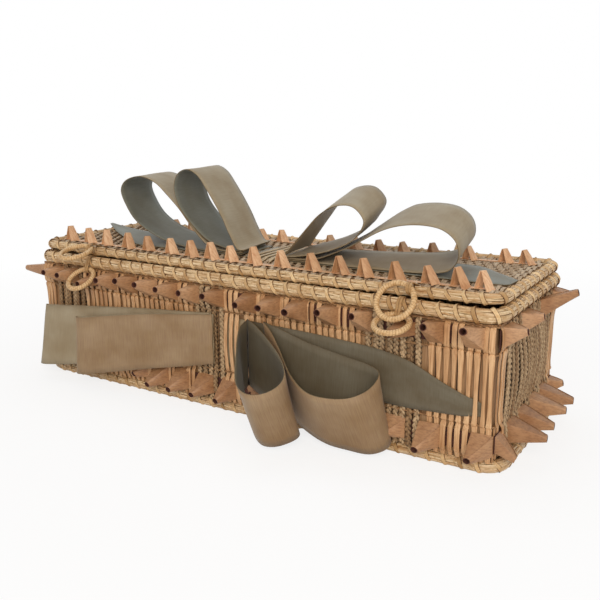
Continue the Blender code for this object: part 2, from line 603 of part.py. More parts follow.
def front_knot_splints(wall, finish, bowed):
    """The upper stretches of the splints that bow out over the ribbon, joined under the rim."""
    solids = Solids("front_knot_splints", finish)
    half = SPLINT_WIDTH / 2
    weaver_foot = UPPER_WEAVER_HEIGHT - WEAVER_WIDTH / 2
    low = LOWER_WEAVER_TOP + TOUCH_GAP
    stations = [(TOUCH_GAP, SPLINT_FACE, weaver_foot),
                (TOUCH_GAP + BOWED_SHIFT, SPLINT_FACE + BOWED_SHIFT, weaver_foot - BOWED_SHIFT),
                (TOUCH_GAP + BOWED_SHIFT, SPLINT_FACE + BOWED_SHIFT, low)]
    places = bowed_places(bowed)
    teeth = [(place - half, place + half, stations) for place in places]
    span = (places[0] - half - TOUCH_GAP / 2, places[-1] + half + TOUCH_GAP / 2)
    comb(solids, wall.at, teeth, (span, (LINER_TOP, LINER_TOP - SPINE_HEIGHT)),
         (TOUCH_GAP, SPLINT_FACE))
    solids.build()


def wall_braids(wall, finish, notches, depth):
    """Upright sweetgrass braids of a wall, a body for each group of them."""
    spans = spans_of(wall)
    half = BRAID_WIDTH / 2
    foot = WALL_FOOT + SPINE_HEIGHT + TOUCH_GAP
    labels = ("left", "middle", "right") if len(spans) > 1 else ("",)
    for (low, high), label in zip(spans, labels):
        solids = Solids("_".join(part for part in (wall.name, label, "braids") if part), finish)
        count = int((high - low) / BRAID_PITCH)
        teeth = []
        for k in range(count):
            along = (low + high) / 2 + (k + 0.5 - count / 2) * BRAID_PITCH
            top = tooth_top(along, half, notches, depth)
            teeth.append((along - half, along + half, [(TOUCH_GAP, SPLINT_FACE, top)]))
        ends = (teeth[0][0] - TOUCH_GAP / 2, teeth[-1][1] + TOUCH_GAP / 2)
        comb(solids, wall.at, teeth, (ends, (foot, foot + SPINE_HEIGHT)), (TOUCH_GAP, SPLINT_FACE))
        solids.build()


def weavers(name, height, finish):
    """One thin weaver all round the box."""
    solids = Solids(name, finish)
    inner = SPLINT_FACE + TOUCH_GAP
    low, high = height - WEAVER_WIDTH / 2, height + WEAVER_WIDTH / 2
    rings = []
    for i, j in ((1, 1), (-1, 1), (-1, -1), (1, -1)):
        rings.append([Vector((i * (END_FACE + out), j * (LONG_FACE + out), up))
                      for out, up in ((inner, low), (WEAVER_FACE, low), (WEAVER_FACE, high), (inner, high))])
    solids.loft(rings, closed=True)
    solids.build()


def equal_points(tips, reach, rise):
    """A row of points that differ only in where they stand."""
    return [(tip, reach, rise, 1.0) for tip in tips]


def end_points(row):
    """A row of points of an end, from its table."""
    return [(share * END_ROW_HALF, reach, rise, size) for share, reach, rise, size in row]


def wall_points(wall, upper, finish, row, lean=0.0, hooked=()):
    """A row of folded points along one wall, from (tip along it, reach, rise, size of the base)."""
    solids = Solids(f"{wall.name}_{'upper' if upper else 'lower'}_points", finish)
    height = UPPER_POINT_HEIGHT if upper else LOWER_POINT_HEIGHT
    back = SPLINT_FACE + TOUCH_GAP

    def place(along, out, up):
        return wall.at(along, back + out, up)

    folds = []
    for tip, reach, rise, size in row:
        half, tall = size * POINT_HALF_WIDTH, size * POINT_HALF_HEIGHT
        tip_height, out = height + rise, reach - back
        pressed = [(low * HALF_LENGTH, high * HALF_LENGTH) for low, high in PRESSED_SPAN_SHARES]
        if wall.name == "front" and not upper and in_spans(tip, pressed):
            out = reach * PRESSED_REACH_SHARE - back
        if any(abs(tip - spot) < POINT_HALF_WIDTH / 2 for spot in hooked):
            half, tall = half * HOOKED_SIZE_SHARES[0], tall * HOOKED_SIZE_SHARES[1]
            tip_height = height - HOOKED_TIP_DROP
        folds.append((tip + lean, half, tall, (tip, out, tip_height), POINT_TIP_RADIUS))
    ends = (folds[0][0] - folds[0][1] - 2 * POINT_WAIST_SLOPE,
            folds[-1][0] + folds[-1][1] + 2 * POINT_WAIST_SLOPE)
    point_strip(solids, place, folds, height, POINT_WAIST_HEIGHT / 2, POINT_WAIST_SLOPE, ends)
    solids.build()


def lid_tents(name, finish, shares, line, parent):
    """A row of tent folds that stand on the lid, folded from one strip."""
    solids = Solids(name, finish, parent=parent)

    def place(along, out, up):
        return Vector((along, line + up, lid_height(along) + SPLINTS_TOP_RISE + TOUCH_GAP + out))

    folds = []
    for share in shares:
        x = share * LID_HALF_LENGTH
        folds.append((x + TENT_LEAN / 2, TENT_HALF_WIDTH, TENT_HALF_DEPTH,
                      (x - TENT_LEAN / 2, TENT_HEIGHT, 0.0), TENT_TIP_RADIUS))
    ends = (folds[0][0] - TENT_HALF_WIDTH - POINT_WAIST_SLOPE,
            folds[-1][0] + TENT_HALF_WIDTH + 2 * POINT_WAIST_SLOPE)
    point_strip(solids, place, folds, 0.0, TENT_WAIST_HEIGHT / 2, POINT_WAIST_SLOPE, ends)
    solids.build()


def ring_frame(rim_y, rim_z, reach, tie_degrees):
    """Middle of a ring's tube at its tie."""
    angle = math.radians(tie_degrees)
    return rim_y - reach * math.cos(angle), rim_z + reach * math.sin(angle)


def closing_ring(name, finish, pivot, radius, turn_degrees, lean_degrees, parent):
    """A wrapped grass ring that hangs from its tie. Its origin is on its swing axis."""
    empty = joint_empty(name + "_pivot", pivot, parent)
    turn, lean = math.radians(turn_degrees), math.radians(lean_degrees)
    down = Vector((0, -math.sin(lean), -math.cos(lean)))
    across = Vector((1, 0, 0))
    centre = Vector(pivot) - across * radius * math.sin(turn) + down * radius * math.cos(turn)
    path = [centre + radius * (math.cos(a) * across + math.sin(a) * down)
            for a in (2 * math.pi * k / RING_STEPS for k in range(RING_STEPS))]
    solids = Solids(name, finish, pivot=pivot)
    solids.loft(tube_rings(path, RING_TUBE, RING_SIDES, up=across.cross(down)), closed=True)
    piece = solids.build()
    piece.parent = empty
    piece.location = (0, 0, 0)
    return piece


def ring_tie(name, finish, x, rim_y, rim_z, rim_radius, pivot, turn_degrees, parent):
    """A lash loop round a rim and a ring's tube, in the plane across the rim."""
    solids = Solids(name, finish, parent=parent)
    near = Vector((x, rim_y, rim_z))
    far = Vector(pivot)
    near_reach = rim_radius + TOUCH_GAP + TIE_TUBE
    far_reach = RING_TUBE / math.cos(math.radians(turn_degrees)) + RUN_GAP + TIE_TUBE
    axis = (far - near).normalized()
    square = Vector((1, 0, 0)).cross(axis)
    spread = math.acos((near_reach - far_reach) / (far - near).length)
    path = []
    for k in range(TIE_STEPS):
        angle = -spread + 2 * spread * k / (TIE_STEPS - 1)
        path.append(far + far_reach * (math.cos(angle) * axis + math.sin(angle) * square))
    for k in range(TIE_STEPS):
        angle = spread + 2 * (math.pi - spread) * k / (TIE_STEPS - 1)
        path.append(near + near_reach * (math.cos(angle) * axis + math.sin(angle) * square))
    solids.loft(tube_rings(path, TIE_TUBE, TIE_SIDES, up=Vector((1, 0, 0))), closed=True)
    solids.build()


def strip(solids, front, back):
    """A thin closed strip between two edges that have the same number of points."""
    rings = []
    count = len(front)
    for i in range(count):
        along = (front[min(i + 1, count - 1)] - front[max(i - 1, 0)]).normalized()
        normal = along.cross(back[i] - front[i]).normalized() * (RIBBON_THICK / 2)
        rings.append([front[i] - normal, back[i] - normal, back[i] + normal, front[i] + normal])
    solids.loft(rings)


def lid_loop(name, finish, reach, rise, shares, width_shares, side, layers, parent):
    """One loop of the lid's bow, ruled across the ribbon's width. layers: its first and last."""
    solids = Solids(name, finish, parent=parent)
    outline = []
    for i, (along, up) in enumerate(shares):
        layer = layers[0] if i < len(shares) / 2 else layers[1]
        height = RIBBON_BASE + max(up * rise, layer * RIBBON_STACK)
        outline.append(Vector((side * along * reach, -LID_RIBBON_FRONT, height)))
    front = smooth(outline, RIBBON_STEPS)
    across, deep, lift = [share * RIBBON_WIDTH for share in width_shares]
    back = []
    for i, point in enumerate(front):
        t = i / (len(front) - 1)
        eased = min(1.0, t / RIBBON_LIFT_SHARE, (1 - t) / RIBBON_LIFT_SHARE)
        back.append(point + Vector((across, deep, lift * eased)))
    strip(solids, front, back)
    solids.build()


def lid_tail(name, finish, reach, shares, side, lift, parent):
    """A flat ribbon end on the lid with a slanted cut."""
    solids = Solids(name, finish, parent=parent)
    edges = [[], []]
    for along, *pair in shares:
        x = side * along * reach
        height = lid_height(x) - lid_height(0.0) + RIBBON_BASE + lift * along ** TAIL_LIFT_POWER
        for edge, across in zip(edges, pair):
            edge.append(Vector((x, across * RIBBON_WIDTH - LID_RIBBON_FRONT, height)))
    strip(solids, *edges)
    solids.build()


def lid_knot(finish, ribbon, parent):
    """The flat middle of the lid's bow, and the splints that hold it down."""
    base = RIBBON_BASE - RIBBON_THICK / 2
    front, back = -LID_RIBBON_FRONT, RIBBON_WIDTH - LID_RIBBON_FRONT
    band = Solids("lid_bow_band", ribbon, parent=parent)
    band.block((-KNOT_REACH, front, base), (KNOT_REACH, back, base + RIBBON_THICK))
    band.build()
    over = Solids("lid_knot_splints", finish, parent=parent)
    low = base + RIBBON_THICK + TOUCH_GAP
    high = low + LID_SPLINT_THICK
    half = SPLINT_WIDTH / 2
    teeth = []
    for k in range(LID_KNOT_COUNT):
        x = LID_KNOT_OFFSET + (k + 0.5 - LID_KNOT_COUNT / 2) * LID_KNOT_PITCH
        teeth.append((x - half, x + half, [(low, high, front - KNOT_OVERHANG)]))
    span = (teeth[0][0] - TOUCH_GAP, teeth[-1][1] + TOUCH_GAP)
    comb(over, lambda along, out, up: Vector((along, up, out)), teeth,
         (span, (back + KNOT_OVERHANG, back + KNOT_OVERHANG - SPINE_HEIGHT)), (low, high))
    over.build()


def over_long_loop(share):
    """How far the short flattened loop lies off the wall to clear the long one under it."""
    below = share * SHORT_LOOP_REACH / LONG_LOOP_REACH
    at_knot, at_tip = SHORT_LOOP_SPACES
    return RIBBON_STACK + (FLAT_LOOP_GAP - RIBBON_STACK) * below + at_knot + (at_tip - at_knot) * share


def flat_loop(name, finish, reach, shares, lift):
    """A flattened loop of the front bow, on edge along the front wall, lifted over another or not."""
    wall = WALLS[0]
    solids = Solids(name, finish)
    first = WEAVER_FACE + TOUCH_GAP + RIBBON_THICK / 2
    opening = FLAT_LOOP_GAP - RIBBON_STACK
    edges = {}
    for edge in (0, 1):
        there, again = [], []
        for row in shares:
            share = row[0]
            out = first + lift(share) + row[1 + edge] * FLAT_LOOP_STANDOFF
            up = row[3 + edge] * FLAT_LOOP_TOP
            there.append(wall.at(-share * reach, out, up))
            again.append(wall.at(-share * reach, out + RIBBON_STACK + opening * share, up))
        turn = (there[-1] + again[-1]) / 2
        turn.x = -reach
        edges[edge] = smooth(there + [turn] + again[::-1], RIBBON_STEPS)
    strip(solids, edges[0], edges[1])
    solids.build()


def open_loop(name, finish, reach, shares, full_lean):
    """A loop of the front bow that stands out of the wall, on edge and leaning."""
    wall = WALLS[0]
    solids = Solids(name, finish)
    first = WEAVER_FACE + TOUCH_GAP + RIBBON_THICK / 2
    tops, bottoms = [], []
    for along, out, up, lean in shares:
        inward = min(lean * full_lean, out * reach)
        drop = math.sqrt(RIBBON_WIDTH ** 2 - inward ** 2)
        top = Vector((along * reach, first + out * reach, up * OPEN_LOOP_TOP))
        tops.append(wall.at(*top))
        bottoms.append(wall.at(top.x, top.y - inward, max(top.z - drop, RIBBON_THICK)))
    strip(solids, smooth(tops, RIBBON_STEPS), smooth(bottoms, RIBBON_STEPS))
    solids.build()


def front_tail(finish):
    """The ribbon end that lies on the right of the front wall and is tucked behind two splints."""
    wall = WALLS[0]
    solids = Solids("front_bow_tail", finish)
    first = SPLINT_FACE + TOUCH_GAP
    height = FRONT_BAND_TOP - LOWER_WEAVER_TOP
    solids.loft([[wall.at(along * FRONT_TAIL_REACH, out, LOWER_WEAVER_TOP + up * height)
                  for along, up in FRONT_TAIL_SHARES] for out in (first, first + RIBBON_THICK)])
    solids.build()


def clear_scene():
    for item in list(bpy.data.objects):
        bpy.data.objects.remove(item, do_unlink=True)


def main():
    clear_scene()
    ash = material("ash_splint", (0.56, 0.33, 0.15), 0.55)
    brown_ash = material("brown_ash_points", (0.42, 0.20, 0.09), 0.55)
    liner_ash = material("wide_ash_splint", (0.30, 0.17, 0.08), 0.65)
    grass = material("sweetgrass", (0.62, 0.45, 0.20), 0.60)
    braid_grass = material("braided_sweetgrass", (0.36, 0.27, 0.13), 0.70)
    ribbon = material("olive_ribbon", (0.25, 0.21, 0.14), 0.45)
    lash = material("splint_lashing", (0.66, 0.46, 0.21), 0.5)

    front, right, back, left = WALLS
    tie_notch = TIE_TUBE + TOUCH_GAP + RUN_GAP
    hinge_notch = HINGE_RING_TUBE + RUN_GAP
    body_ties = [BODY_RING_LEFT_SHARE * HALF_LENGTH, BODY_RING_RIGHT_SHARE * HALF_LENGTH]
    lid_ties = [LID_RING_LEFT_SHARE * HALF_LENGTH, LID_RING_RIGHT_SHARE * HALF_LENGTH]
    hinges = [-HINGE_SPACING / 2, HINGE_SPACING / 2]
    notches = {"front": [(x, tie_notch) for x in body_ties], "back": [(x, hinge_notch) for x in hinges],
               "left": [], "right": []}
    depths = {"front": 2 * TIE_TUBE + 2 * RUN_GAP, "left": 0.0, "right": 0.0,
              "back": HINGE_RING_RADIUS + HINGE_RING_TUBE + RUN_GAP - (HINGE_AXIS.z - LINER_TOP)}

    # Floor and foot rim
    floor = Solids("floor_splints", liner_ash)
    inset = FOOT_RIM_RADIUS + TOUCH_GAP
    plan = round_rectangle(HALF_LENGTH + FOOT_END_OUTSET - inset, HALF_WIDTH - FOOT_RIM_INSET - inset,
                           FOOT_RIM_CORNER - inset, RIM_CORNER_STEPS)
    floor.loft([[p + Vector((0, 0, z)) for p in plan] for z in (0.0, FLOOR_THICK)])
    floor.build()
    foot = Solids("foot_rim", grass)
    foot.loft(tube_rings(foot_rim_path(), FOOT_RIM_RADIUS, RIM_SIDES), closed=True)
    foot.build()

    # Walls
    bowed = [share * HALF_LENGTH for share in BOWED_SPAN_SHARES]
    for wall in WALLS:
        cuts, depth = notches[wall.name], depths[wall.name]
        liner(wall, liner_ash, cuts, depth)
        wall_splints(wall, ash, cuts, depth, bowed if wall is front else None)
        wall_braids(wall, braid_grass, cuts, depth)
    front_knot_splints(front, ash, bowed)
    weavers("upper_weavers", UPPER_WEAVER_HEIGHT, ash)
    weavers("lower_weavers", LOWER_WEAVER_HEIGHT, ash)

    # Folded points
    front_upper = [share * HALF_LENGTH for share in FRONT_UPPER_TIP_SHARES]
    front_lower = [share * HALF_LENGTH for share in FRONT_LOWER_TIP_SHARES]
    back_tips = [(k + 0.5 - BACK_POINT_COUNT / 2) * BACK_POINT_PITCH for k in range(BACK_POINT_COUNT)]
    lower_reach = SIDE_POINT_REACH * LOWER_REACH_SHARE
    wall_points(front, True, brown_ash, equal_points(front_upper, SIDE_POINT_REACH, UPPER_TIP_RISE),
                SIDE_POINT_LEAN, body_ties)
    wall_points(front, False, brown_ash, equal_points(front_lower, lower_reach, -LOWER_TIP_DROP),
                SIDE_POINT_LEAN)
    wall_points(back, True, brown_ash, equal_points(back_tips, SIDE_POINT_REACH, UPPER_TIP_RISE))
    wall_points(back, False, brown_ash, equal_points(back_tips, lower_reach, -LOWER_TIP_DROP))
    wall_points(right, True, brown_ash, end_points(RIGHT_UPPER_ROW))
    wall_points(right, False, brown_ash, end_points(RIGHT_LOWER_ROW))
    wall_points(left, True, brown_ash, end_points(LEFT_UPPER_ROW))
    wall_points(left, False, brown_ash, end_points(LEFT_LOWER_ROW))

    # Body rim
    rim = Solids("body_rim", grass)
    rim.loft(tube_rings(body_rim_path(), BODY_RIM_RADIUS, RIM_SIDES), closed=True)
    rim.build()

    # Closing rings on the body, and the hinge rings
    body_reach = BODY_RIM_RADIUS + RING_TUBE + TOUCH_GAP
    body_y, body_z = ring_frame(-HALF_WIDTH, BODY_RIM_HEIGHT, body_reach, BODY_TIE_ANGLE)
    for side, x, turn, lean in (("left", body_ties[0], BODY_RING_LEFT_TURN, BODY_RING_LEFT_LEAN),
                                ("right", body_ties[1], BODY_RING_RIGHT_TURN, BODY_RING_RIGHT_LEAN)):
        pivot = (x, body_y, body_z)
        closing_ring("body_ring_" + side, grass, pivot, BODY_RING_RADIUS, turn, lean, None)
        ring_tie("body_ring_tie_" + side, lash, x, -HALF_WIDTH, BODY_RIM_HEIGHT, BODY_RIM_RADIUS, pivot,
                 turn, None)
    for side, x in (("left", hinges[0]), ("right", hinges[1])):
        path = [HINGE_AXIS + Vector((x, HINGE_RING_RADIUS * math.cos(a), HINGE_RING_RADIUS * math.sin(a)))
                for a in (2 * math.pi * k / RING_STEPS for k in range(RING_STEPS))]
        hinge = Solids("hinge_ring_" + side, grass)
        hinge.loft(tube_rings(path, HINGE_RING_TUBE, RING_SIDES, up=Vector((1, 0, 0))), closed=True)
        hinge.build()

    # Front bow
    places = bowed_places(bowed)
    band = Solids("front_bow_band", ribbon)
    reach = SPLINT_WIDTH / 2 + TOUCH_GAP
    front.block(band, (places[0] - reach, places[-1] + reach), (TOUCH_GAP, TOUCH_GAP + RIBBON_THICK),
                (LOWER_WEAVER_TOP + BAND_FOOT_GAP, FRONT_BAND_TOP))
    band.build()
    flat_loop("front_bow_long_loop", ribbon, LONG_LOOP_REACH, LONG_LOOP_SHARES, lambda share: 0.0)
    flat_loop("front_bow_short_loop", ribbon, SHORT_LOOP_REACH, SHORT_LOOP_SHARES, over_long_loop)
    open_loop("front_bow_small_loop", ribbon, SMALL_LOOP_REACH, SMALL_LOOP_SHARES, SMALL_LOOP_LEAN)
    open_loop("front_bow_large_loop", ribbon, LARGE_LOOP_REACH, LARGE_LOOP_SHARES, LARGE_LOOP_LEAN)
    front_tail(ribbon)

    # Lid
    hinge_axis = joint_empty("lid_hinge_axis", HINGE_AXIS)
    lid_rim = Solids("lid_rim", grass, parent=hinge_axis)
    lid_rim.loft(tube_rings(lid_rim_path(), LID_RIM_RADIUS, RIM_SIDES), closed=True)
    lid_rim.build()
    lid_panel(liner_ash, lid_ties, tie_notch, hinges, hinge_notch, hinge_axis)
    lid_splints(ash, hinge_axis)
    lid_tents("lid_front_points", brown_ash, FRONT_TENT_SHARES, -FRONT_TENT_LINE, hinge_axis)
    lid_tents("lid_back_points", brown_ash, BACK_TENT_SHARES, BACK_TENT_LINE, hinge_axis)
    for side, x, turn, lean in (("left", lid_ties[0], LID_RING_LEFT_TURN, LID_RING_LEFT_LEAN),
                                ("right", lid_ties[1], LID_RING_RIGHT_TURN, LID_RING_RIGHT_LEAN)):
        lid_reach = LID_RIM_RADIUS + RING_TUBE + TOUCH_GAP + RING_RADIUS * (1 - math.cos(math.radians(turn)))
        lid_y, lid_z = ring_frame(-LID_HALF_WIDTH, lid_height(x), lid_reach, LID_TIE_ANGLE)
        pivot = (x, lid_y, lid_z)
        closing_ring("lid_ring_" + side, grass, pivot, RING_RADIUS, turn, lean, hinge_axis)
        ring_tie("lid_ring_tie_" + side, lash, x, -LID_HALF_WIDTH, lid_height(x), LID_RIM_RADIUS, pivot,
                 turn, hinge_axis)
    lid_knot(ash, ribbon, hinge_axis)
    lid_tail("lid_bow_tail_left", ribbon, TAIL_LEFT_REACH, TAIL_LEFT_SHARES, -1, TAIL_LEFT_LIFT, hinge_axis)
    lid_tail("lid_bow_tail_right", ribbon, TAIL_RIGHT_REACH, TAIL_RIGHT_SHARES, 1, 0.0, hinge_axis)
    lid_loop("lid_bow_loop_low_left", ribbon, LOOP_A_REACH, LOOP_A_RISE, LOOP_A_SHARES,
             LOOP_A_WIDTH_SHARES, -1, (1, 2), hinge_axis)
    lid_loop("lid_bow_loop_high_left", ribbon, LOOP_B_REACH, LOOP_B_RISE, LOOP_B_SHARES,
             LOOP_B_WIDTH_SHARES, -1, (3, 4), hinge_axis)
    lid_loop("lid_bow_loop_high_right", ribbon, LOOP_C_REACH, LOOP_C_RISE, LOOP_C_SHARES,
             LOOP_C_WIDTH_SHARES, 1, (4, 3), hinge_axis)
    lid_loop("lid_bow_loop_low_right", ribbon, LOOP_D_REACH, LOOP_D_RISE, LOOP_D_SHARES,
             LOOP_D_WIDTH_SHARES, 1, (2, 1), hinge_axis)


def lid_panel(finish, ties, tie_half, hinges, hinge_half, parent):
    """The lid's inner layer, bowed along its length, notched for the ties and the hinge rings."""
    solids = Solids("lid_panel", finish, parent=parent)
    inset = LID_RIM_RADIUS + TOUCH_GAP
    half_x, half_y = LID_HALF_LENGTH - inset, LID_HALF_WIDTH - inset
    tie_depth = 2 * TIE_TUBE + RUN_GAP
    hinge_depth = half_y - (HINGE_AXIS.y - HINGE_RING_RADIUS - HINGE_RING_TUBE - RUN_GAP)
    corner = LID_RIM_CORNER
    places = {half_x * (2 * k / LID_PANEL_STEPS - 1) for k in range(LID_PANEL_STEPS + 1)}
    places |= {corner - half_x, half_x - corner}
    edge = TOUCH_GAP
    for xs, reach in ((ties, tie_half), (hinges, hinge_half)):
        for x in xs:
            places |= {x - reach - edge, x - reach, x + reach, x + reach + edge}
    sections = []
    for x in sorted(places):
        rounding = max(0.0, abs(x) - (half_x - corner)) / corner
        near = far = half_y - corner * (1 - math.sqrt(max(0.0, 1 - rounding ** 2)))
        if any(abs(x - place) < tie_half + edge / 2 for place in ties):
            near -= tie_depth
        if any(abs(x - place) < hinge_half + edge / 2 for place in hinges):
            far -= hinge_depth
        top = lid_height(x) + LID_PANEL_RISE
        low = top - LID_PANEL_THICK
        sections.append([Vector((x, -near, low)), Vector((x, far, low)),
                         Vector((x, far, top)), Vector((x, -near, top))])
    solids.loft(sections)
    solids.build()


def lid_splints(finish, parent):
    """Narrow splints across the lid, on top of its panel."""
    solids = Solids("lid_splints", finish, parent=parent)
    inset = LID_RIM_RADIUS + TOUCH_GAP
    half_x, half_y = LID_HALF_LENGTH - inset, LID_HALF_WIDTH - inset - LID_SPLINT_MARGIN
    half = LID_SPLINT_WIDTH / 2
    count = int(2 * half_x / LID_SPLINT_PITCH)
    low = LID_PANEL_RISE + TOUCH_GAP
    teeth = []
    for k in range(count):
        x = (k + 0.5 - count / 2) * LID_SPLINT_PITCH
        teeth.append((x - half, x + half, [(low, low + LID_SPLINT_THICK, -half_y)]))
    ends = (teeth[0][0] - TOUCH_GAP, teeth[-1][1] + TOUCH_GAP)
    comb(solids, lambda along, out, up: Vector((along, up, lid_height(along) + out)), teeth,
         (ends, (half_y, half_y - SPINE_HEIGHT)), (low, low + LID_SPLINT_THICK))
    solids.build()


if __name__ == "__main__":
    main()
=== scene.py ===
"""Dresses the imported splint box: split ash walls, folded points, grass rims and rings, ribbon bows."""
import json
import math
import random

import bmesh
import bpy
from mathutils import Matrix, Vector

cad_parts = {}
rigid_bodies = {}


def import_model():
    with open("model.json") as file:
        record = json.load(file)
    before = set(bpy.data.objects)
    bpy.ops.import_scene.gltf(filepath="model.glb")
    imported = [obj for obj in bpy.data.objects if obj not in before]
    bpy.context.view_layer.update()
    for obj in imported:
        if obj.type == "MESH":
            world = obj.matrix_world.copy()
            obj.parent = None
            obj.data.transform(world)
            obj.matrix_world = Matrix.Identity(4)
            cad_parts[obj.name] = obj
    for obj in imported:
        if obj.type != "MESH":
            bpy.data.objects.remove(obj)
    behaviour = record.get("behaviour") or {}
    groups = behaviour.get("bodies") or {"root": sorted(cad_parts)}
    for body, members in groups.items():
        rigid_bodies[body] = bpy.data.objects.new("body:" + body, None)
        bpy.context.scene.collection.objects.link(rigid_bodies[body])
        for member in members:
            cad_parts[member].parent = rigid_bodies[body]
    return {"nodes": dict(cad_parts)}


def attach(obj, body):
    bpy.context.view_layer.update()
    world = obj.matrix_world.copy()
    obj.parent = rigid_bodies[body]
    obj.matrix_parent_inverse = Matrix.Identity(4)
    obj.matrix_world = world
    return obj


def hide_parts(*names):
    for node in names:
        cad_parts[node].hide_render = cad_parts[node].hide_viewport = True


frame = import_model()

bl_info = {
    "name": "Splint box",
    "version": (1, 0, 0),
    "blender": (4, 5, 0),
    "location": "3D View > Sidebar > Splint box",
    "description": "Woven splint box with folded points, grass rings and ribbon bows",
    "category": "Add Mesh",
}

MM = 0.001
FLOOR_REACH = 4.0
FLOOR_DROP = 0.2 * MM           # keeps the floor's face off the foot rim's
FLOOR_WHITENS = (0.17, 0.5)     # distances between which the floor goes to plain white
FLOOR_WHITE_NEAR = 0.78         # so a faint shadow is left near the box
ACROSS, UPWARD = Vector((1, 0, 0)), Vector((0, 0, 1))
BACKWARD = Vector((0, 1, 0))
UNSCALED = (1.0, 1.0, 1.0)

# The box, as its frame has it
HALF_LENGTH = 152.5 * MM
HALF_WIDTH = 52.1 * MM
LONG_FACE = 51.0 * MM
END_FACE = 151.4 * MM
RIM_HEIGHT = 78.7 * MM
RIM_RADIUS = 3.5 * MM
LID_HALF_LENGTH = 152.15 * MM
LID_HALF_WIDTH = 49.05 * MM
LID_RIM_HEIGHT = 84.78 * MM
LID_RIM_RADIUS = 2.6 * MM
LID_BOW = 1.6 * MM              # the lid's ends stand this much over its middle
FOOT_RADIUS = 3.1 * MM
UPPER_ROW = 68.1 * MM           # middles of the two rows of points
LOWER_ROW = 16.0 * MM
UPPER_TWINING = 60.6 * MM
LOWER_TWINING = 25.0 * MM
TOP_TWINING = 74.2 * MM
STRIP_OUT = 1.9 * MM            # middle of the strip that the points are folded from

BRAID_SPANS = ((-0.915, -0.765), (-0.165, -0.030), (0.562, 0.762))      # shares of the half length
END_BRAID_SPAN = (-0.74, 0.74)
UPPER_TIPS = (-0.902, -0.823, -0.707, -0.599, -0.494, -0.388, -0.282, -0.171, -0.055,
              0.088, 0.186, 0.298, 0.424, 0.548, 0.685, 0.797, 0.925)
UPPER_RISES = (3.1, 3.1, 0.0, 3.1, 4.2, 4.0, 3.7, 3.6, 3.4, 1.4, 2.0, 1.8, 4.6, 5.3, 0.0, 5.6, 5.8)
LOWER_TIPS = (-0.925, -0.830, -0.725, -0.615, -0.475, -0.365, -0.258, -0.144, -0.029,
              0.094, 0.205, 0.316, 0.427, 0.538, 0.649, 0.773, 0.945)
PRESSED_SPANS = ((-1.0, -0.42), (0.05, 0.70))       # lower points that the ribbon lies over
FLAT_TIP = 0.1                                      # the one below it lies under the small loop's root
HOOKED_TIPS = (-0.707, 0.685)                       # points that pass through the body rings
BACK_PITCH = 17.2 * MM
# Points on the ends: share of the row's half width, reach, rise and size of the foot
END_ROW_HALF = 45.7 * MM
END_POINT_FOOT = (5.3, 5.5)
END_ROWS = {
    ("right", True): ((-0.919, 12.0, 3.4, 1.0), (-0.306, 12.0, 3.4, 1.0), (0.372, 21.0, 11.0, 1.0),
                      (0.919, 12.0, 3.4, 1.0)),
    ("left", True): ((-0.919, 12.0, 3.4, 1.0), (-0.306, 12.0, 3.4, 1.0), (0.306, 12.0, 3.4, 1.0),
                     (1.0, 27.0, -1.0, 0.75)),
    ("right", False): ((-1.0, 11.0, -7.4, 0.8), (-0.613, 21.0, -1.0, 1.0), (-0.219, 20.0, -1.0, 1.0),
                       (0.219, 21.0, 0.0, 1.0), (0.613, 20.5, 0.0, 1.0), (1.0, 10.5, 2.6, 0.8)),
    ("left", False): ((-1.0, 11.0, 2.6, 0.8), (-0.613, 20.0, 0.0, 1.0), (-0.219, 20.0, 0.0, 1.0),
                      (0.219, 20.0, -1.0, 1.0), (0.613, 20.0, -1.0, 1.0), (1.0, 17.0, -10.0, 0.8)),
}
FRONT_TENTS = (-0.926, -0.814, -0.714, -0.594, -0.482, -0.359, -0.256, -0.160, -0.063,
               0.043, 0.164, 0.295, 0.406, 0.502, 0.620, 0.738, 0.839, 0.917)
BACK_TENTS = (-0.93, -0.83, -0.735, -0.637, -0.54, -0.44, -0.34, -0.24, -0.138,
              -0.016, 0.105, 0.22, 0.329, 0.434, 0.558, 0.703, 0.841, 0.917)
FRONT_TENT_LINE = -38.0 * MM
BACK_TENT_LINE = 33.0 * MM
TENT_TURN = math.radians(-25.0)    # they are folded aslant
# Wall splints that go over the front ribbon, then up to where they only show above and below it
BOWED_SPAN = (-0.030, 0.040, 0.066)
KNOT_PLACES = (-2.3 * MM, 1.4 * MM, 5.1 * MM)

# Closing rings: pivot and radius in millimetres, degrees turned in their own plane and leant out from it
CLOSING_RINGS = {
    "body_ring_left": ((-107.818, -55.507, 74.64), 8.5, 0.0, 55.0),
    "body_ring_right": ((104.462, -55.507, 74.64), 8.5, 0.0, 72.0),
    "lid_ring_left": ((-105.225, -54.909, 88.152), 9.5, 38.0, 75.0),
    "lid_ring_right": ((109.8, -54.909, 88.22), 9.5, 38.0, 35.0),
}
RING_TUBE = 1.5 * MM
RING_STEPS = 220
HINGE_AXIS = Vector((0.0, 53.919, 83.571)) * MM
HINGE_RING_REACH = 10.3 * MM
HINGE_RING_TUBE = 1.3 * MM
HINGE_PLACES = (-94.6 * MM, 94.6 * MM)

# Ribbon
RIBBON_WIDTH = 38.1 * MM
RIBBON_BASE = 86.93 * MM
RIBBON_STACK = 0.9 * MM
LID_RIBBON_FRONT = 24.0 * MM
RIBBON_OUT = 2.95 * MM          # first ribbon layer before the front liner
LIFT_SHARE = 0.3                # of a loop's length, over which its back edge lifts
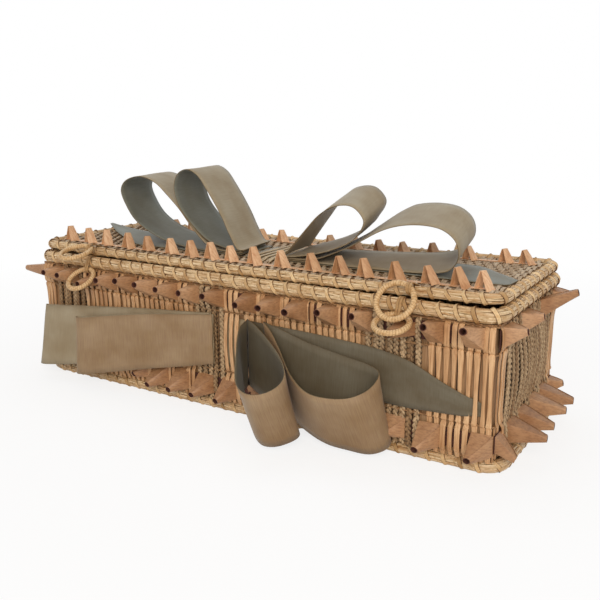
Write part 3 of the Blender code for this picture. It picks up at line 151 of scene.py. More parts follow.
# The lid's loops: side, reach and rise in millimetres, ribbon layer at start and end, the way from front to
# back edge as shares of the ribbon's width, then the outline as shares of the reach and the rise
LOOPS = {
    "lid_bow_loop_low_left": (-1, 107.5, 43.5, (1, 2), (-0.20, 0.975, 0.0), (
        (0.115, 0.0), (0.45, 0.03), (0.66, 0.10), (0.80, 0.22), (0.90, 0.37), (0.965, 0.57), (1.0, 0.77),
        (0.97, 0.91), (0.90, 0.985), (0.82, 1.0), (0.72, 0.92), (0.64, 0.77), (0.55, 0.575), (0.475, 0.37),
        (0.37, 0.13), (0.28, 0.05), (0.20, 0.0), (0.115, 0.0))),
    "lid_bow_loop_high_left": (-1, 62.5, 49.2, (3, 4), (-0.145, 0.98, 0.0), (
        (0.20, 0.0), (0.37, 0.075), (0.58, 0.14), (0.745, 0.28), (0.90, 0.47), (0.975, 0.625), (1.0, 0.78),
        (0.96, 0.925), (0.875, 0.995), (0.79, 0.995), (0.69, 0.925), (0.60, 0.785), (0.50, 0.61),
        (0.41, 0.43), (0.335, 0.25), (0.25, 0.085), (0.17, 0.0))),
    "lid_bow_loop_high_right": (1, 68.2, 34.4, (4, 3), (-0.12, 0.97, 0.19), (
        (0.26, 0.10), (0.33, 0.245), (0.46, 0.53), (0.585, 0.79), (0.705, 0.94), (0.825, 0.995),
        (0.915, 0.965), (0.985, 0.84), (1.0, 0.72), (0.95, 0.545), (0.86, 0.39), (0.635, 0.21),
        (0.38, 0.095), (0.26, 0.0))),
    "lid_bow_loop_low_right": (1, 121.5, 26.8, (2, 1), (-0.12, 0.97, 0.19), (
        (0.14, 0.0), (0.30, 0.09), (0.45, 0.35), (0.53, 0.53), (0.64, 0.81), (0.73, 0.95), (0.825, 1.0),
        (0.91, 0.965), (0.965, 0.84), (0.995, 0.66), (1.0, 0.43), (0.975, 0.23), (0.93, 0.13),
        (0.82, 0.07), (0.58, 0.045), (0.30, 0.0), (0.14, 0.0))),
}
# The lid's tails: side, reach and lift of the tip in millimetres, then rows of the share of the reach and
# where the front and back edges lie, as shares of the ribbon's width
TAILS = {
    "lid_bow_tail_left": (-1, 149.0, 4.5, (
        (0.10, 0.0, 0.98), (0.30, -0.03, 0.96), (0.50, -0.08, 0.93), (0.62, -0.10, 0.915),
        (0.74, 0.14, 0.89), (0.86, 0.40, 0.86), (0.94, 0.60, 0.84), (1.0, 0.76, 0.82))),
    "lid_bow_tail_right": (1, 149.0, 0.0, (
        (0.12, 0.0, 1.0), (0.30, 0.0, 1.0), (0.50, -0.01, 1.0), (0.66, -0.03, 1.0),
        (0.80, -0.05, 1.0), (0.90, -0.07, 0.66), (0.985, -0.07, 0.34), (1.0, 0.10, 0.28))),
}
# Flattened loops: reach, where each lies over the one under it at knot and tip, then along the reach
# the stand-off of the top and bottom edges and the height of both edges, as shares
FLAT_LOOPS = {
    "front_bow_long_loop": (148.0, None, (
        (0.085, 0.0, 0.0, 0.985, 0.50), (0.25, 0.0, 0.08, 0.95, 0.43), (0.50, 0.03, 0.30, 0.90, 0.335),
        (0.75, 0.10, 0.75, 0.84, 0.235), (0.96, 0.16, 1.0, 0.79, 0.155))),
    "front_bow_short_loop": (111.0, (0.8, 2.5), (
        (0.085, 0.0, 0.0, 0.985, 0.50), (0.25, 0.06, 0.06, 0.95, 0.43), (0.50, 0.20, 0.20, 0.90, 0.335),
        (0.75, 0.36, 0.44, 0.83, 0.235), (0.96, 0.47, 0.72, 0.765, 0.160))),
}
FLAT_TOP = 60.0 * MM
FLAT_STANDOFF = 9.6 * MM
FLAT_OPENING = 2.5 * MM
# Open loops: reach, full lean of the foot towards the wall, outline; an outline's stations give the shares
# of the reach along and out, of the top's height and of the full lean, and how far the foot flares along
OPEN_LOOPS = {
    "front_bow_small_loop": (48.0, 20.5, (
        (0.27, 0.0, 1.0, 0.0, 0.0), (0.33, 0.25, 0.96, 0.15, 0.0), (0.52, 0.57, 0.82, 0.50, 0.0),
        (0.72, 0.86, 0.68, 0.75, 0.0), (0.90, 0.99, 0.64, 0.80, 0.0), (1.05, 0.985, 0.635, 0.85, 0.0),
        (1.17, 0.90, 0.66, 0.88, 0.0), (1.22, 0.76, 0.705, 0.80, 0.0), (1.17, 0.61, 0.76, 0.62, 0.0),
        (1.00, 0.44, 0.83, 0.40, 0.0), (0.74, 0.27, 0.91, 0.20, 0.0), (0.45, 0.10, 0.98, 0.0, 0.0),
        (0.275, 0.005, 1.0, 0.0, 0.0))),
    "front_bow_large_loop": (33.0, 18.0, (
        (0.72, 0.0, 1.0, 0.0, 0.0), (0.95, 0.14, 0.95, 0.0, 0.0), (1.25, 0.37, 0.86, 0.35, 0.0),
        (1.70, 0.73, 0.71, 0.80, 0.0), (2.12, 0.95, 0.635, 1.0, 0.8), (2.46, 0.92, 0.615, 1.0, 2.2),
        (2.74, 0.80, 0.625, 0.88, 3.8), (2.93, 0.62, 0.67, 0.80, 4.2), (3.00, 0.42, 0.73, 0.72, 3.0),
        (2.95, 0.24, 0.78, 0.30, 1.5), (2.70, 0.12, 0.80, 0.0, 0.5), (2.25, 0.08, 0.83, -0.3, 0.0),
        (1.60, 0.07, 0.89, -0.2, 0.0), (1.05, 0.06, 0.97, 0.0, 0.0), (0.725, 0.005, 1.0, 0.0, 0.0))),
}
OPEN_TOP = 59.0 * MM
# These front loops' outer sides take a browner copy of the ribbon: painted warm light where they face the key lamp
WARM_LIT_RIBBONS = ("front_bow_short_loop", "front_bow_small_loop", "front_bow_large_loop")
# The tail: share of its reach, height of the edge, distance out
FRONT_TAIL_TOP = ((0.095, 58.1, 2.75), (0.45, 56.6, 2.75), (0.70, 53.2, 2.75), (0.86, 43.8, 2.75),
                  (0.935, 39.4, 2.6), (0.962, 37.8, 1.0), (0.99, 36.2, 0.75))
FRONT_TAIL_FOOT = ((0.095, 31.0, 2.75), (0.45, 28.6, 2.75), (0.70, 27.0, 2.75), (0.86, 28.0, 2.75),
                   (0.935, 28.7, 2.6), (0.962, 29.0, 1.0), (0.99, 29.4, 0.75))
FRONT_TAIL_REACH = 148.0 * MM

# The photograph's camera
CAMERA_PLACE = (0.2524126, -0.3821072, 0.1704824)
CAMERA_YAW, CAMERA_PITCH, CAMERA_ROLL = 0.5588770, 0.2438757, -0.0046659
FOCAL_PIXELS, PHOTO_PIXELS = 761.443, 600


def linear(code):
    """The linear colour of an sRGB hex code."""
    shares = [int(code[i:i + 2], 16) / 255 for i in (1, 3, 5)]
    return [s / 12.92 if s <= 0.04045 else ((s + 0.055) / 1.055) ** 2.4 for s in shares]


def add_node(tree, kind, inputs=None, **settings):
    """Adds a node. Its inputs are values or other nodes' sockets, by name or number."""
    node = tree.nodes.new(kind)
    for name, value in settings.items():
        setattr(node, name, value)
    for key, value in (inputs or {}).items():
        if isinstance(value, bpy.types.NodeSocket):
            tree.links.new(value, node.inputs[key])
        else:
            node.inputs[key].default_value = value
    return node


def result(tree, kind, inputs=None, **settings):
    """The first output of a new node."""
    return add_node(tree, kind, inputs, **settings).outputs[0]


def maths(tree, operation, *values):
    """The result of a Math node."""
    return result(tree, "ShaderNodeMath", dict(enumerate(values)), operation=operation)


def vector_maths(tree, operation, *values, **named):
    """The result of a Vector Math node, with inputs by number and by name."""
    return result(tree, "ShaderNodeVectorMath", {**dict(enumerate(values)), **named}, operation=operation)


# Finishes

def new_finish(name):
    """A material with only its output node."""
    finish = bpy.data.materials.new(name)
    finish.use_nodes = True
    finish.node_tree.nodes.clear()
    return finish, finish.node_tree


def grain_noise(tree, scale, detail=4.0, turned=None):
    """Noise that is stretched along the grain; scale is in waves a metre on each axis."""
    place = turned or add_node(tree, "ShaderNodeTexCoord").outputs["Object"]
    mapping = add_node(tree, "ShaderNodeMapping", {"Vector": place, "Scale": scale})
    return add_node(tree, "ShaderNodeTexNoise", {"Vector": mapping.outputs["Vector"], "Scale": 1.0,
                                                "Detail": detail, "Roughness": 0.6}).outputs["Fac"]


def blended(tree, factor, low, high, span=(0.0, 1.0)):
    """A colour between two, as a factor goes over a span."""
    ramp = add_node(tree, "ShaderNodeValToRGB", {"Fac": factor})
    ramp.color_ramp.elements[0].position, ramp.color_ramp.elements[1].position = span
    ramp.color_ramp.elements[0].color = (*low, 1.0)
    ramp.color_ramp.elements[1].color = (*high, 1.0)
    return ramp.outputs["Color"]


def toned(tree, colour, factor, low, high, span=(0.0, 1.0)):
    """A colour darkened by another, which goes between two as a factor goes over a span."""
    tone = blended(tree, factor, linear(low), linear(high), span)
    # The mix node takes its factor at 0 and its two colours at 6 and 7
    return add_node(tree, "ShaderNodeMix", {0: 1.0, 6: colour, 7: tone}, data_type="RGBA",
                    blend_type="MULTIPLY").outputs[2]


def attribute(tree, name):
    return add_node(tree, "ShaderNodeAttribute", attribute_name=name).outputs["Fac"]


def close_finish(tree, colour, roughness, height=None, bump=0.2, depth=0.1 * MM, **sockets):
    """The shader and output of a finish, with a bump from a height."""
    shader = add_node(tree, "ShaderNodeBsdfPrincipled", {"Base Color": colour, "Roughness": roughness})
    for name, value in sockets.items():
        shader.inputs[name.replace("_", " ").title().replace("Ior", "IOR")].default_value = value
    if height is not None:
        relief = add_node(tree, "ShaderNodeBump", {"Height": height, "Strength": bump, "Distance": depth})
        tree.links.new(relief.outputs["Normal"], shader.inputs["Normal"])
    add_node(tree, "ShaderNodeOutputMaterial", {"Surface": shader.outputs["BSDF"]})


def split_ash(name, pale, deep, scale, roughness=0.55, bump=0.2):
    """Split ash, dry and aged: long grain lines, the finest 0.7 mm apart, each splint of its own tone."""
    finish, tree = new_finish(name)
    grain = grain_noise(tree, scale)
    blotch = grain_noise(tree, (90.0, 90.0, 60.0), 2.0)
    colour = blended(tree, grain, deep, pale, (0.3, 0.58))
    colour = toned(tree, colour, attribute(tree, "tint"), "#dccfbe", "#fffdf8")
    colour = toned(tree, colour, blotch, "#ece3d9", "#ffffff", (0.3, 0.6))
    close_finish(tree, colour, roughness, grain, bump)
    return finish


def wide_splints(name, woven):
    """Wide ash splints 11 mm across, each of its own tone: woven square, or upright side by side."""
    finish, tree = new_finish(name)
    place = add_node(tree, "ShaderNodeTexCoord").outputs["Object"]
    if not woven:
        # Along any wall, then up
        apart = add_node(tree, "ShaderNodeSeparateXYZ", {0: place}).outputs
        along = maths(tree, "ADD", apart["X"], apart["Y"])
        place = result(tree, "ShaderNodeCombineXYZ", {"X": along, "Y": apart["Z"]})
    splints = add_node(tree, "ShaderNodeTexBrick", {
        "Vector": place, "Color1": (*linear("#c09c74"), 1.0), "Color2": (*linear("#a98560"), 1.0),
        "Mortar": (*linear("#4a3524"), 1.0), "Scale": 1.0, "Mortar Size": 0.35 * MM, "Mortar Smooth": 0.4,
        "Brick Width": 11.0 * MM, "Row Height": 11.0 * MM if woven else 300.0 * MM})
    grain = grain_noise(tree, (300.0, 300.0, 300.0) if woven else (900.0, 900.0, 40.0))
    colour = toned(tree, splints.outputs["Color"], grain, "#d6c8b8", "#ffffff", (0.35, 0.6))
    close_finish(tree, colour, 0.7, grain, 0.15)
    return finish


def dried_grass(name, pale, deep, scale, roughness=0.6):
    """Dried grass and thin splint strip: pale, flecked about every 2 mm and finer, a little glossy."""
    finish, tree = new_finish(name)
    streak = grain_noise(tree, scale, 5.0)
    colour = blended(tree, streak, deep, pale, (0.3, 0.6))
    colour = toned(tree, colour, attribute(tree, "tint"), "#c2b096", "#fffdf6")
    close_finish(tree, colour, roughness, streak, 0.35)
    return finish


def straw(name, pale, deep):
    """Straw laid side by side: each stem of its own tone, paler and darker in stretches of some 20 mm."""
    finish, tree = new_finish(name)
    place = result(tree, "ShaderNodeCombineXYZ", {"X": attribute(tree, "along"), "Y": attribute(tree, "tint")})
    stretch = grain_noise(tree, (55.0, 90.0, 1.0), 3.0, place)
    fleck = grain_noise(tree, (420.0, 300.0, 1.0), 2.0, place)
    colour = blended(tree, stretch, deep, pale, (0.34, 0.62))
    colour = toned(tree, colour, attribute(tree, "tint"), "#c9b697", "#fffdf4")
    colour = toned(tree, colour, fleck, "#d9c9ae", "#ffffff", (0.32, 0.5))
    close_finish(tree, colour, 0.45, fleck, 0.2)
    return finish


def wrapped_grass(name, pale, deep):
    """Grass core under a close wrapping of split grass; painted shade in the grooves between the turns."""
    finish, tree = new_finish(name)
    streak = grain_noise(tree, (700.0, 700.0, 700.0), 3.0)
    colour = blended(tree, attribute(tree, "groove"), pale, deep, (0.55, 1.0))
    colour = toned(tree, colour, streak, "#d8c4a4", "#ffffff", (0.3, 0.6))
    close_finish(tree, colour, 0.5, streak, 0.2)
    return finish


def aged_ribbon(name, base, streak):
    """Taffeta ribbon, faded: very fine ribs across it, faint cloudy patches, a soft satin sheen."""
    finish, tree = new_finish(name)
    way = add_node(tree, "ShaderNodeUVMap", uv_map="UVMap").outputs["UV"]
    # Threads are 0.1 mm apart, drawn at 0.6 mm so that they show from near
    ribs = grain_noise(tree, (90.0, 1600.0, 1.0), 3.0, way)
    fade = grain_noise(tree, (30.0, 24.0, 1.0), 3.0, way)
    colour = blended(tree, ribs, base, streak, (0.30, 0.70))
    colour = toned(tree, colour, fade, "#e2d9cc", "#ffffff", (0.35, 0.62))
    close_finish(tree, colour, 0.55, ribs, 0.1, 0.08 * MM, sheen_weight=0.1, sheen_roughness=0.4,
                 specular_ior_level=0.2)
    return finish


def braided_grass(name, pale, deep):
    """Braided dry grass: fibres lengthwise, pale on the raised strands and darker with painted shade down between them.
    """
    finish, tree = new_finish(name)
    fibre = grain_noise(tree, (900.0, 900.0, 260.0), 3.0)
    colour = blended(tree, fibre, deep, pale, (0.32, 0.6))
    # Painted shade: darker where a strand lies back towards the wall
    colour = toned(tree, colour, attribute(tree, "groove"), "#ffffff", "#2c1f17", (0.16, 0.62))
    colour = toned(tree, colour, attribute(tree, "tint"), "#bfae9a", "#ffffff")
    close_finish(tree, colour, 0.7, fibre, 0.3)
    return finish


FINISHES = {}


def finish_named(name):
    """Makes each finish once, from the colours in the sidebar."""
    if name not in FINISHES:
        colours = bpy.context.scene.splint_box_colours
        upright, along_x = (1500.0, 1500.0, 60.0), (60.0, 1500.0, 1500.0)
        maker, *given = {
            "upright_ash": (split_ash, colours.ash, "#bb8c60", upright),
            "folded_ash": (split_ash, colours.points, "#aa8262", (420.0, 420.0, 1300.0), 0.5, 0.08),
            "tent_ash": (split_ash, "#f2cba4", "#d6a27a", (300.0, 1100.0, 300.0), 0.5),
            "weaver_ash": (split_ash, "#a8835a", "#6a4a2e", along_x),
            "wide_ash": (wide_splints, False),
            "woven_wide_ash": (wide_splints, True),
            # Painted shade: dark red-brown inside the points' open tips and on the strips behind them, where these show
            # between the uprights
            "bore": (split_ash, "#5a3025", "#341b15", (900.0, 900.0, 900.0), 0.8),
            "lid_weave": (split_ash, "#cdbaa0", "#957f66", (1500.0, 60.0, 1500.0), 0.7),
            "knot_ash": (split_ash, "#cdbb98", "#9a8460", (1500.0, 60.0, 1500.0)),
            "rim_grass": (straw, colours.grass, "#cfa97c"),
            "rim_lash": (dried_grass, "#f0d4a8", "#d5ae7c", (500.0, 500.0, 500.0)),
            "lash_shade": (dried_grass, "#8a6440", "#5e4028", (500.0, 500.0, 500.0)),
            "braid_grass": (braided_grass, colours.braid, "#927453"),
            "ring_grass": (wrapped_grass, "#dfbd8c", "#9b6e43"),
            "ribbon": (aged_ribbon, colours.ribbon, "#ada087"),
            # Painted shade: a greyer, darker copy of the ribbon, as where only the cool top light reaches
            "ribbon_inner": (aged_ribbon, colours.cool_shade_ribbon, "#888a80"),
            # Painted warm light: a browner copy of the ribbon for the front loops' lit outer sides
            "ribbon_worn": (aged_ribbon, colours.warm_lit_ribbon, "#ab9372"),
            # Painted shade: a dark copy of the ribbon for the front tail in the loops' shadow and the open loops' inner
            # sides
            "ribbon_soiled": (aged_ribbon, "#6e6756", "#787161"),
            "ribbon_edge": (dried_grass, "#a59a7e", "#857a60", (900.0, 900.0, 900.0)),
        }[name]
        FINISHES[name] = maker(name, *(linear(value) if isinstance(value, str) else value for value in given))
    return FINISHES[name]


# Meshes

class Skin:
    """Collects the corners and faces of one piece."""

    def __init__(self):
        self.points, self.faces, self.bores, self.groove_shades = [], [], [], []

    def add(self, points, faces, bore=False, groove_shades=None):
        start = len(self.points)
        self.points += [Vector(p) for p in points]
        self.faces += [[start + i for i in face] for face in faces]
        self.bores += [bore] * len(faces)
        self.groove_shades += groove_shades or [0.0] * len(points)

    def loft(self, rings, closed=False, bore=False, caps=True, groove_shades=None):
        """Skin over rings of equally many points."""
        sides, count = len(rings[0]), len(rings)
        faces = []
        for i in range(count if closed else count - 1):
            j = (i + 1) % count
            faces += [(i * sides + k, i * sides + (k + 1) % sides, j * sides + (k + 1) % sides, j * sides + k)
                      for k in range(sides)]
        if caps and not closed:
            faces += [tuple(reversed(range(sides))), tuple(range((count - 1) * sides, count * sides))]
        self.add([p for ring in rings for p in ring], faces, bore, groove_shades)

    def mesh(self, name):
        made = bpy.data.meshes.new(name)
        made.from_pydata(self.points, [], self.faces)
        made.attributes.new("bore", "BOOLEAN", "FACE").data.foreach_set("value", self.bores)
        made.attributes.new("groove", "FLOAT", "POINT").data.foreach_set("value", self.groove_shades)
        return made


def outward(mesh):
    """Turns the faces of closed shells outwards."""
    shape = bmesh.new()
    shape.from_mesh(mesh)
    bmesh.ops.recalc_face_normals(shape, faces=shape.faces)
    shape.to_mesh(mesh)
    shape.free()


def settle(piece, body, replaced=(), crease=40.0):
    """Shades a finished piece, ties it to its body and hides the nodes that it stands for."""
    piece.data.shade_smooth()
    piece.data.set_sharp_from_angle(angle=math.radians(crease))
    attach(piece, body)
    if replaced:
        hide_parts(*replaced)
    return piece


def plain_piece(name, skin, finishes):
    """An object from a skin; its second finish, the painted shade, goes on the faces marked for it."""
    mesh = skin.mesh(name)
    outward(mesh)
    for finish in finishes:
        mesh.materials.append(finish_named(finish))
    if len(finishes) > 1:
        mesh.polygons.foreach_set("material_index", [int(bore) for bore in skin.bores])
    piece = bpy.data.objects.new(name, mesh)
    bpy.context.collection.objects.link(piece)
    return piece


def flat_ring(centre, across, through, half_width, half_thick, sides=8, squareness=0.55):
    """A rounded-rectangular section."""
    ring = []
    for k in range(sides):
        c, s = math.cos(2 * math.pi * (k + 0.5) / sides), math.sin(2 * math.pi * (k + 0.5) / sides)
        ring.append(centre + across * (half_width * math.copysign(abs(c) ** squareness, c))
                    + through * (half_thick * math.copysign(abs(s) ** squareness, s)))
    return ring


def smooth(points, steps):
    """Points on a smooth curve through the given ones."""
    out = []
    for i in range(len(points) - 1):
        before = points[i - 1] if i > 0 else points[i] * 2 - points[i + 1]
        after = points[i + 2] if i + 2 < len(points) else points[i + 1] * 2 - points[i]
        here, there = points[i], points[i + 1]
        for k in range(steps):
            t = k / steps
            out.append(0.5 * (2 * here + (there - before) * t
                              + (2 * before - 5 * here + 4 * there - after) * t ** 2
                              + (3 * here - before - 3 * there + after) * t ** 3))
    return out + [points[-1].copy()]


def round_rectangle(half_x, half_y, corner, corner_steps=6, side_steps=1):
    """Points round a rectangle with round corners, seen from above."""
    points = []
    for quarter in range(4):
        across = (half_x - corner) * (1 if quarter in (0, 3) else -1)
        deep = (half_y - corner) * (1 if quarter in (0, 1) else -1)
        arc = [Vector((across + corner * math.cos(a), deep + corner * math.sin(a), 0))
               for a in (math.pi / 2 * (quarter + k / corner_steps) for k in range(corner_steps + 1))]
        following = Vector((-arc[-1].x, arc[-1].y, 0)) if quarter in (0, 2) else Vector((arc[-1].x, -arc[-1].y, 0))
        points += arc + [arc[-1].lerp(following, k / side_steps) for k in range(1, side_steps)]
    return points


def lid_height(x):
    """Height of the lid rim's centre line."""
    return LID_RIM_HEIGHT + LID_BOW * (x / LID_HALF_LENGTH) ** 2


# Geometry Nodes trees

def new_tree(name, sockets):
    """A geometry tree with named inputs of given kinds, and its inputs and output node."""
    tree = bpy.data.node_groups.new(name, "GeometryNodeTree")
    tree.interface.new_socket("Geometry", in_out="OUTPUT", socket_type="NodeSocketGeometry")
    for label, kind in {"Geometry": "Geometry", **sockets}.items():
        tree.interface.new_socket(label, in_out="INPUT", socket_type="NodeSocket" + kind)
    return tree, add_node(tree, "NodeGroupInput").outputs, add_node(tree, "NodeGroupOutput")


def named_value(tree, name, kind="FLOAT"):
    """A named attribute's value."""
    return add_node(tree, "GeometryNodeInputNamedAttribute", {"Name": name}, data_type=kind).outputs["Attribute"]


def with_value(tree, geometry, name, value, domain="POINT"):
    """The geometry with a value stored under a name."""
    return result(tree, "GeometryNodeStoreNamedAttribute", {"Geometry": geometry, "Name": name, "Value": value},
                  data_type="FLOAT", domain=domain)


def realized(tree, geometry, finish):
    """The geometry with its instances made real, in one finish."""
    real = result(tree, "GeometryNodeRealizeInstances", {"Geometry": geometry})
    return result(tree, "GeometryNodeSetMaterial", {"Geometry": real, "Material": finish})


def forms_tree():
    """Sets forms out on points: each point names its form, its turn, its size and its tint."""
    tree, given, out = new_tree("Forms on points", {"Forms": "Collection", "Finish": "Material",
                                                    "Bore finish": "Material"})
    forms = result(tree, "GeometryNodeCollectionInfo", {"Collection": given["Forms"], "Separate Children": True})
    form, turn, size = [named_value(tree, name, kind) for name, kind in
                        (("form", "INT"), ("turn", "FLOAT_VECTOR"), ("size", "FLOAT_VECTOR"))]
    rotation = result(tree, "FunctionNodeEulerToRotation", {"Euler": turn})
    placed = result(tree, "GeometryNodeInstanceOnPoints",
                    {"Points": given["Geometry"], "Instance": forms, "Pick Instance": True,
                     "Instance Index": form, "Rotation": rotation, "Scale": size})
    # Marked faces take the second finish, which is painted shade
    inside = result(tree, "GeometryNodeSetMaterial",
                    {"Geometry": realized(tree, placed, given["Finish"]),
                     "Selection": named_value(tree, "bore", "BOOLEAN"), "Material": given["Bore finish"]})
    tree.links.new(inside, out.inputs["Geometry"])
    return tree


def bundle_tree():
    """Strands that run round a loop side by side and wander a little, as in a grass rim."""
    tree, given, out = new_tree("Bundle along a loop", {
        "Strands": "Int", "Spread": "Float", "Strand radius": "Float", "Twist": "Float", "Wander": "Float",
        "Step": "Float", "Seed": "Int", "Finish": "Material"})
    curve = result(tree, "GeometryNodeMeshToCurve", {"Mesh": given["Geometry"]})
    fine = result(tree, "GeometryNodeResampleCurve", {"Curve": curve, "Length": given["Step"]}, mode="LENGTH")
    upright = result(tree, "GeometryNodeSetCurveNormal", {"Curve": fine}, mode="Z_UP")
    copies = add_node(tree, "GeometryNodeDuplicateElements", {"Geometry": upright, "Amount": given["Strands"]},
                      domain="SPLINE").outputs
    named = with_value(tree, copies["Geometry"], "strand", copies["Duplicate Index"])
    length = add_node(tree, "GeometryNodeSplineParameter").outputs["Length"]
    marked = with_value(tree, named, "along", length)
    strand = named_value(tree, "strand")
    share = maths(tree, "DIVIDE", strand, given["Strands"])
    angle = maths(tree, "MULTIPLY", maths(tree, "MULTIPLY_ADD", length, given["Twist"], share), 2 * math.pi)
    seeded = maths(tree, "ADD", strand, given["Seed"])
    noise = add_node(tree, "ShaderNodeTexNoise", {"W": seeded, "Scale": 90.0, "Detail": 1.0},
                     noise_dimensions="4D")
    loose = maths(tree, "SUBTRACT", noise.outputs["Fac"], 0.5)
    swing = maths(tree, "MULTIPLY_ADD", loose, given["Wander"], angle)
    normal = result(tree, "GeometryNodeInputNormal")
    tangent = result(tree, "GeometryNodeInputTangent")
    side = vector_maths(tree, "CROSS_PRODUCT", tangent, normal)
    both = vector_maths(tree, "ADD", vector_maths(tree, "SCALE", normal, Scale=maths(tree, "COSINE", swing)),
                        vector_maths(tree, "SCALE", side, Scale=maths(tree, "SINE", swing)))
    offset = vector_maths(tree, "SCALE", both, Scale=given["Spread"])
    moved = result(tree, "GeometryNodeSetPosition", {"Geometry": marked, "Offset": offset})
    tint = add_node(tree, "FunctionNodeRandomValue", {"ID": strand, "Seed": given["Seed"]}, data_type="FLOAT")
    tinted = with_value(tree, moved, "tint", tint.outputs[1])
    profile = result(tree, "GeometryNodeCurvePrimitiveCircle", {"Resolution": 6, "Radius": given["Strand radius"]},
                     mode="RADIUS")
    solid = result(tree, "GeometryNodeCurveToMesh", {"Curve": tinted, "Profile Curve": profile})
    tree.links.new(realized(tree, solid, given["Finish"]), out.inputs["Geometry"])
    return tree


# Lashing turns: height over width, most lean over least, and how far each is turned aslant at most
WRAP_HEIGHT, LEAN_MOST, WRAP_ASLANT = 1.13, 1.9, 0.12


def wraps_tree():
    """Flat lashing turns at even steps round a loop, each leaning a little differently."""
    tree, given, out = new_tree("Wraps along a loop", {
        "Spacing": "Float", "Radius": "Float", "Band width": "Float", "Band thickness": "Float", "Lean": "Float",
        "Seed": "Int", "Finish": "Material"})
    curve = result(tree, "GeometryNodeMeshToCurve", {"Mesh": given["Geometry"]})
    upright = result(tree, "GeometryNodeSetCurveNormal", {"Curve": curve}, mode="Z_UP")
    spots = add_node(tree, "GeometryNodeCurveToPoints", {"Curve": upright, "Length": given["Spacing"]},
                     mode="LENGTH").outputs
    turn = result(tree, "GeometryNodeCurvePrimitiveCircle", {"Resolution": 16, "Radius": given["Radius"]},
                  mode="RADIUS")
    section = result(tree, "GeometryNodeCurvePrimitiveQuadrilateral",
                     {"Width": given["Band thickness"], "Height": given["Band width"]}, mode="RECTANGLE")
    band = result(tree, "GeometryNodeCurveToMesh", {"Curve": turn, "Profile Curve": section})
    placed = result(tree, "GeometryNodeInstanceOnPoints",
                    {"Points": spots["Points"], "Instance": band, "Rotation": spots["Rotation"],
                     "Scale": (1.0, WRAP_HEIGHT, 1.0)})
    low, high = [result(tree, "ShaderNodeCombineXYZ", {"X": lean, "Y": aslant}) for lean, aslant in
                 ((given["Lean"], -WRAP_ASLANT), (maths(tree, "MULTIPLY", given["Lean"], LEAN_MOST), WRAP_ASLANT))]
    lean = result(tree, "FunctionNodeRandomValue", {0: low, 1: high, "Seed": given["Seed"]},
                  data_type="FLOAT_VECTOR")
    leaning = result(tree, "FunctionNodeEulerToRotation", {"Euler": lean})
    turned = result(tree, "GeometryNodeRotateInstances",
                    {"Instances": placed, "Rotation": leaning, "Local Space": True})
    tint = add_node(tree, "FunctionNodeRandomValue", {"Seed": given["Seed"]}, data_type="FLOAT")
    tinted = with_value(tree, turned, "tint", tint.outputs[1], "INSTANCE")
    tree.links.new(realized(tree, tinted, given["Finish"]), out.inputs["Geometry"])
    return tree


TREES = {}


def grown(name, start, maker, inputs):
    """A plain mesh object that a tree grows from a start mesh."""
    if maker.__name__ not in TREES:
        TREES[maker.__name__] = maker()
    tree = TREES[maker.__name__]
    piece = bpy.data.objects.new(name, start)
    bpy.context.collection.objects.link(piece)
    modifier = piece.modifiers.new(tree.name, "NODES")
    modifier.node_group = tree
    for item in tree.interface.items_tree:
        if item.in_out == "INPUT" and item.name in inputs:
            modifier[item.identifier] = inputs[item.name]
    piece.update_tag()
    graph = bpy.context.evaluated_depsgraph_get()
    made = bpy.data.meshes.new_from_object(piece.evaluated_get(graph))
    piece.modifiers.remove(modifier)
    piece.data = made
    made.name = name
    return piece


def bundle(name, start, finish, strands, spread, radius, step, twist=0.0, wander=0.0, seed=0):
    """Strands of one finish round a loop."""
    return grown(name, start, bundle_tree, {
        "Strands": strands, "Spread": spread, "Strand radius": radius, "Step": step, "Twist": twist,
        "Wander": wander, "Seed": seed, "Finish": finish_named(finish)})


def set_out(name, forms, rows, finish, bore_finish=None):
    """One piece from many copies of a few forms. A row is (form, place, turn, size, tint)."""
    group = bpy.data.collections.new(name + "_forms")
    for k, skin in enumerate(forms):
        mesh = skin.mesh(f"{name}_form_{k}")
        outward(mesh)
        group.objects.link(bpy.data.objects.new(f"{name}_form_{k}", mesh))
    start = bpy.data.meshes.new(name)
    start.from_pydata([row[1] for row in rows], [], [])
    start.attributes.new("form", "INT", "POINT").data.foreach_set("value", [row[0] for row in rows])
    start.attributes.new("tint", "FLOAT", "POINT").data.foreach_set("value", [row[4] for row in rows])
    for label, column in (("turn", 2), ("size", 3)):
        values = [v for row in rows for v in row[column]]
        start.attributes.new(label, "FLOAT_VECTOR", "POINT").data.foreach_set("vector", values)
    piece = grown(name, start, forms_tree, {"Forms": group, "Finish": finish_named(finish),
                                            "Bore finish": finish_named(bore_finish or finish)})
    for form in list(group.objects):
        bpy.data.objects.remove(form)
    bpy.data.collections.remove(group)
    return piece


def loop_mesh(name, points):
    """A closed loop of edges."""
    mesh = bpy.data.meshes.new(name)
    mesh.from_pydata(points, [(i, (i + 1) % len(points)) for i in range(len(points))], [])
    return mesh


# Walls

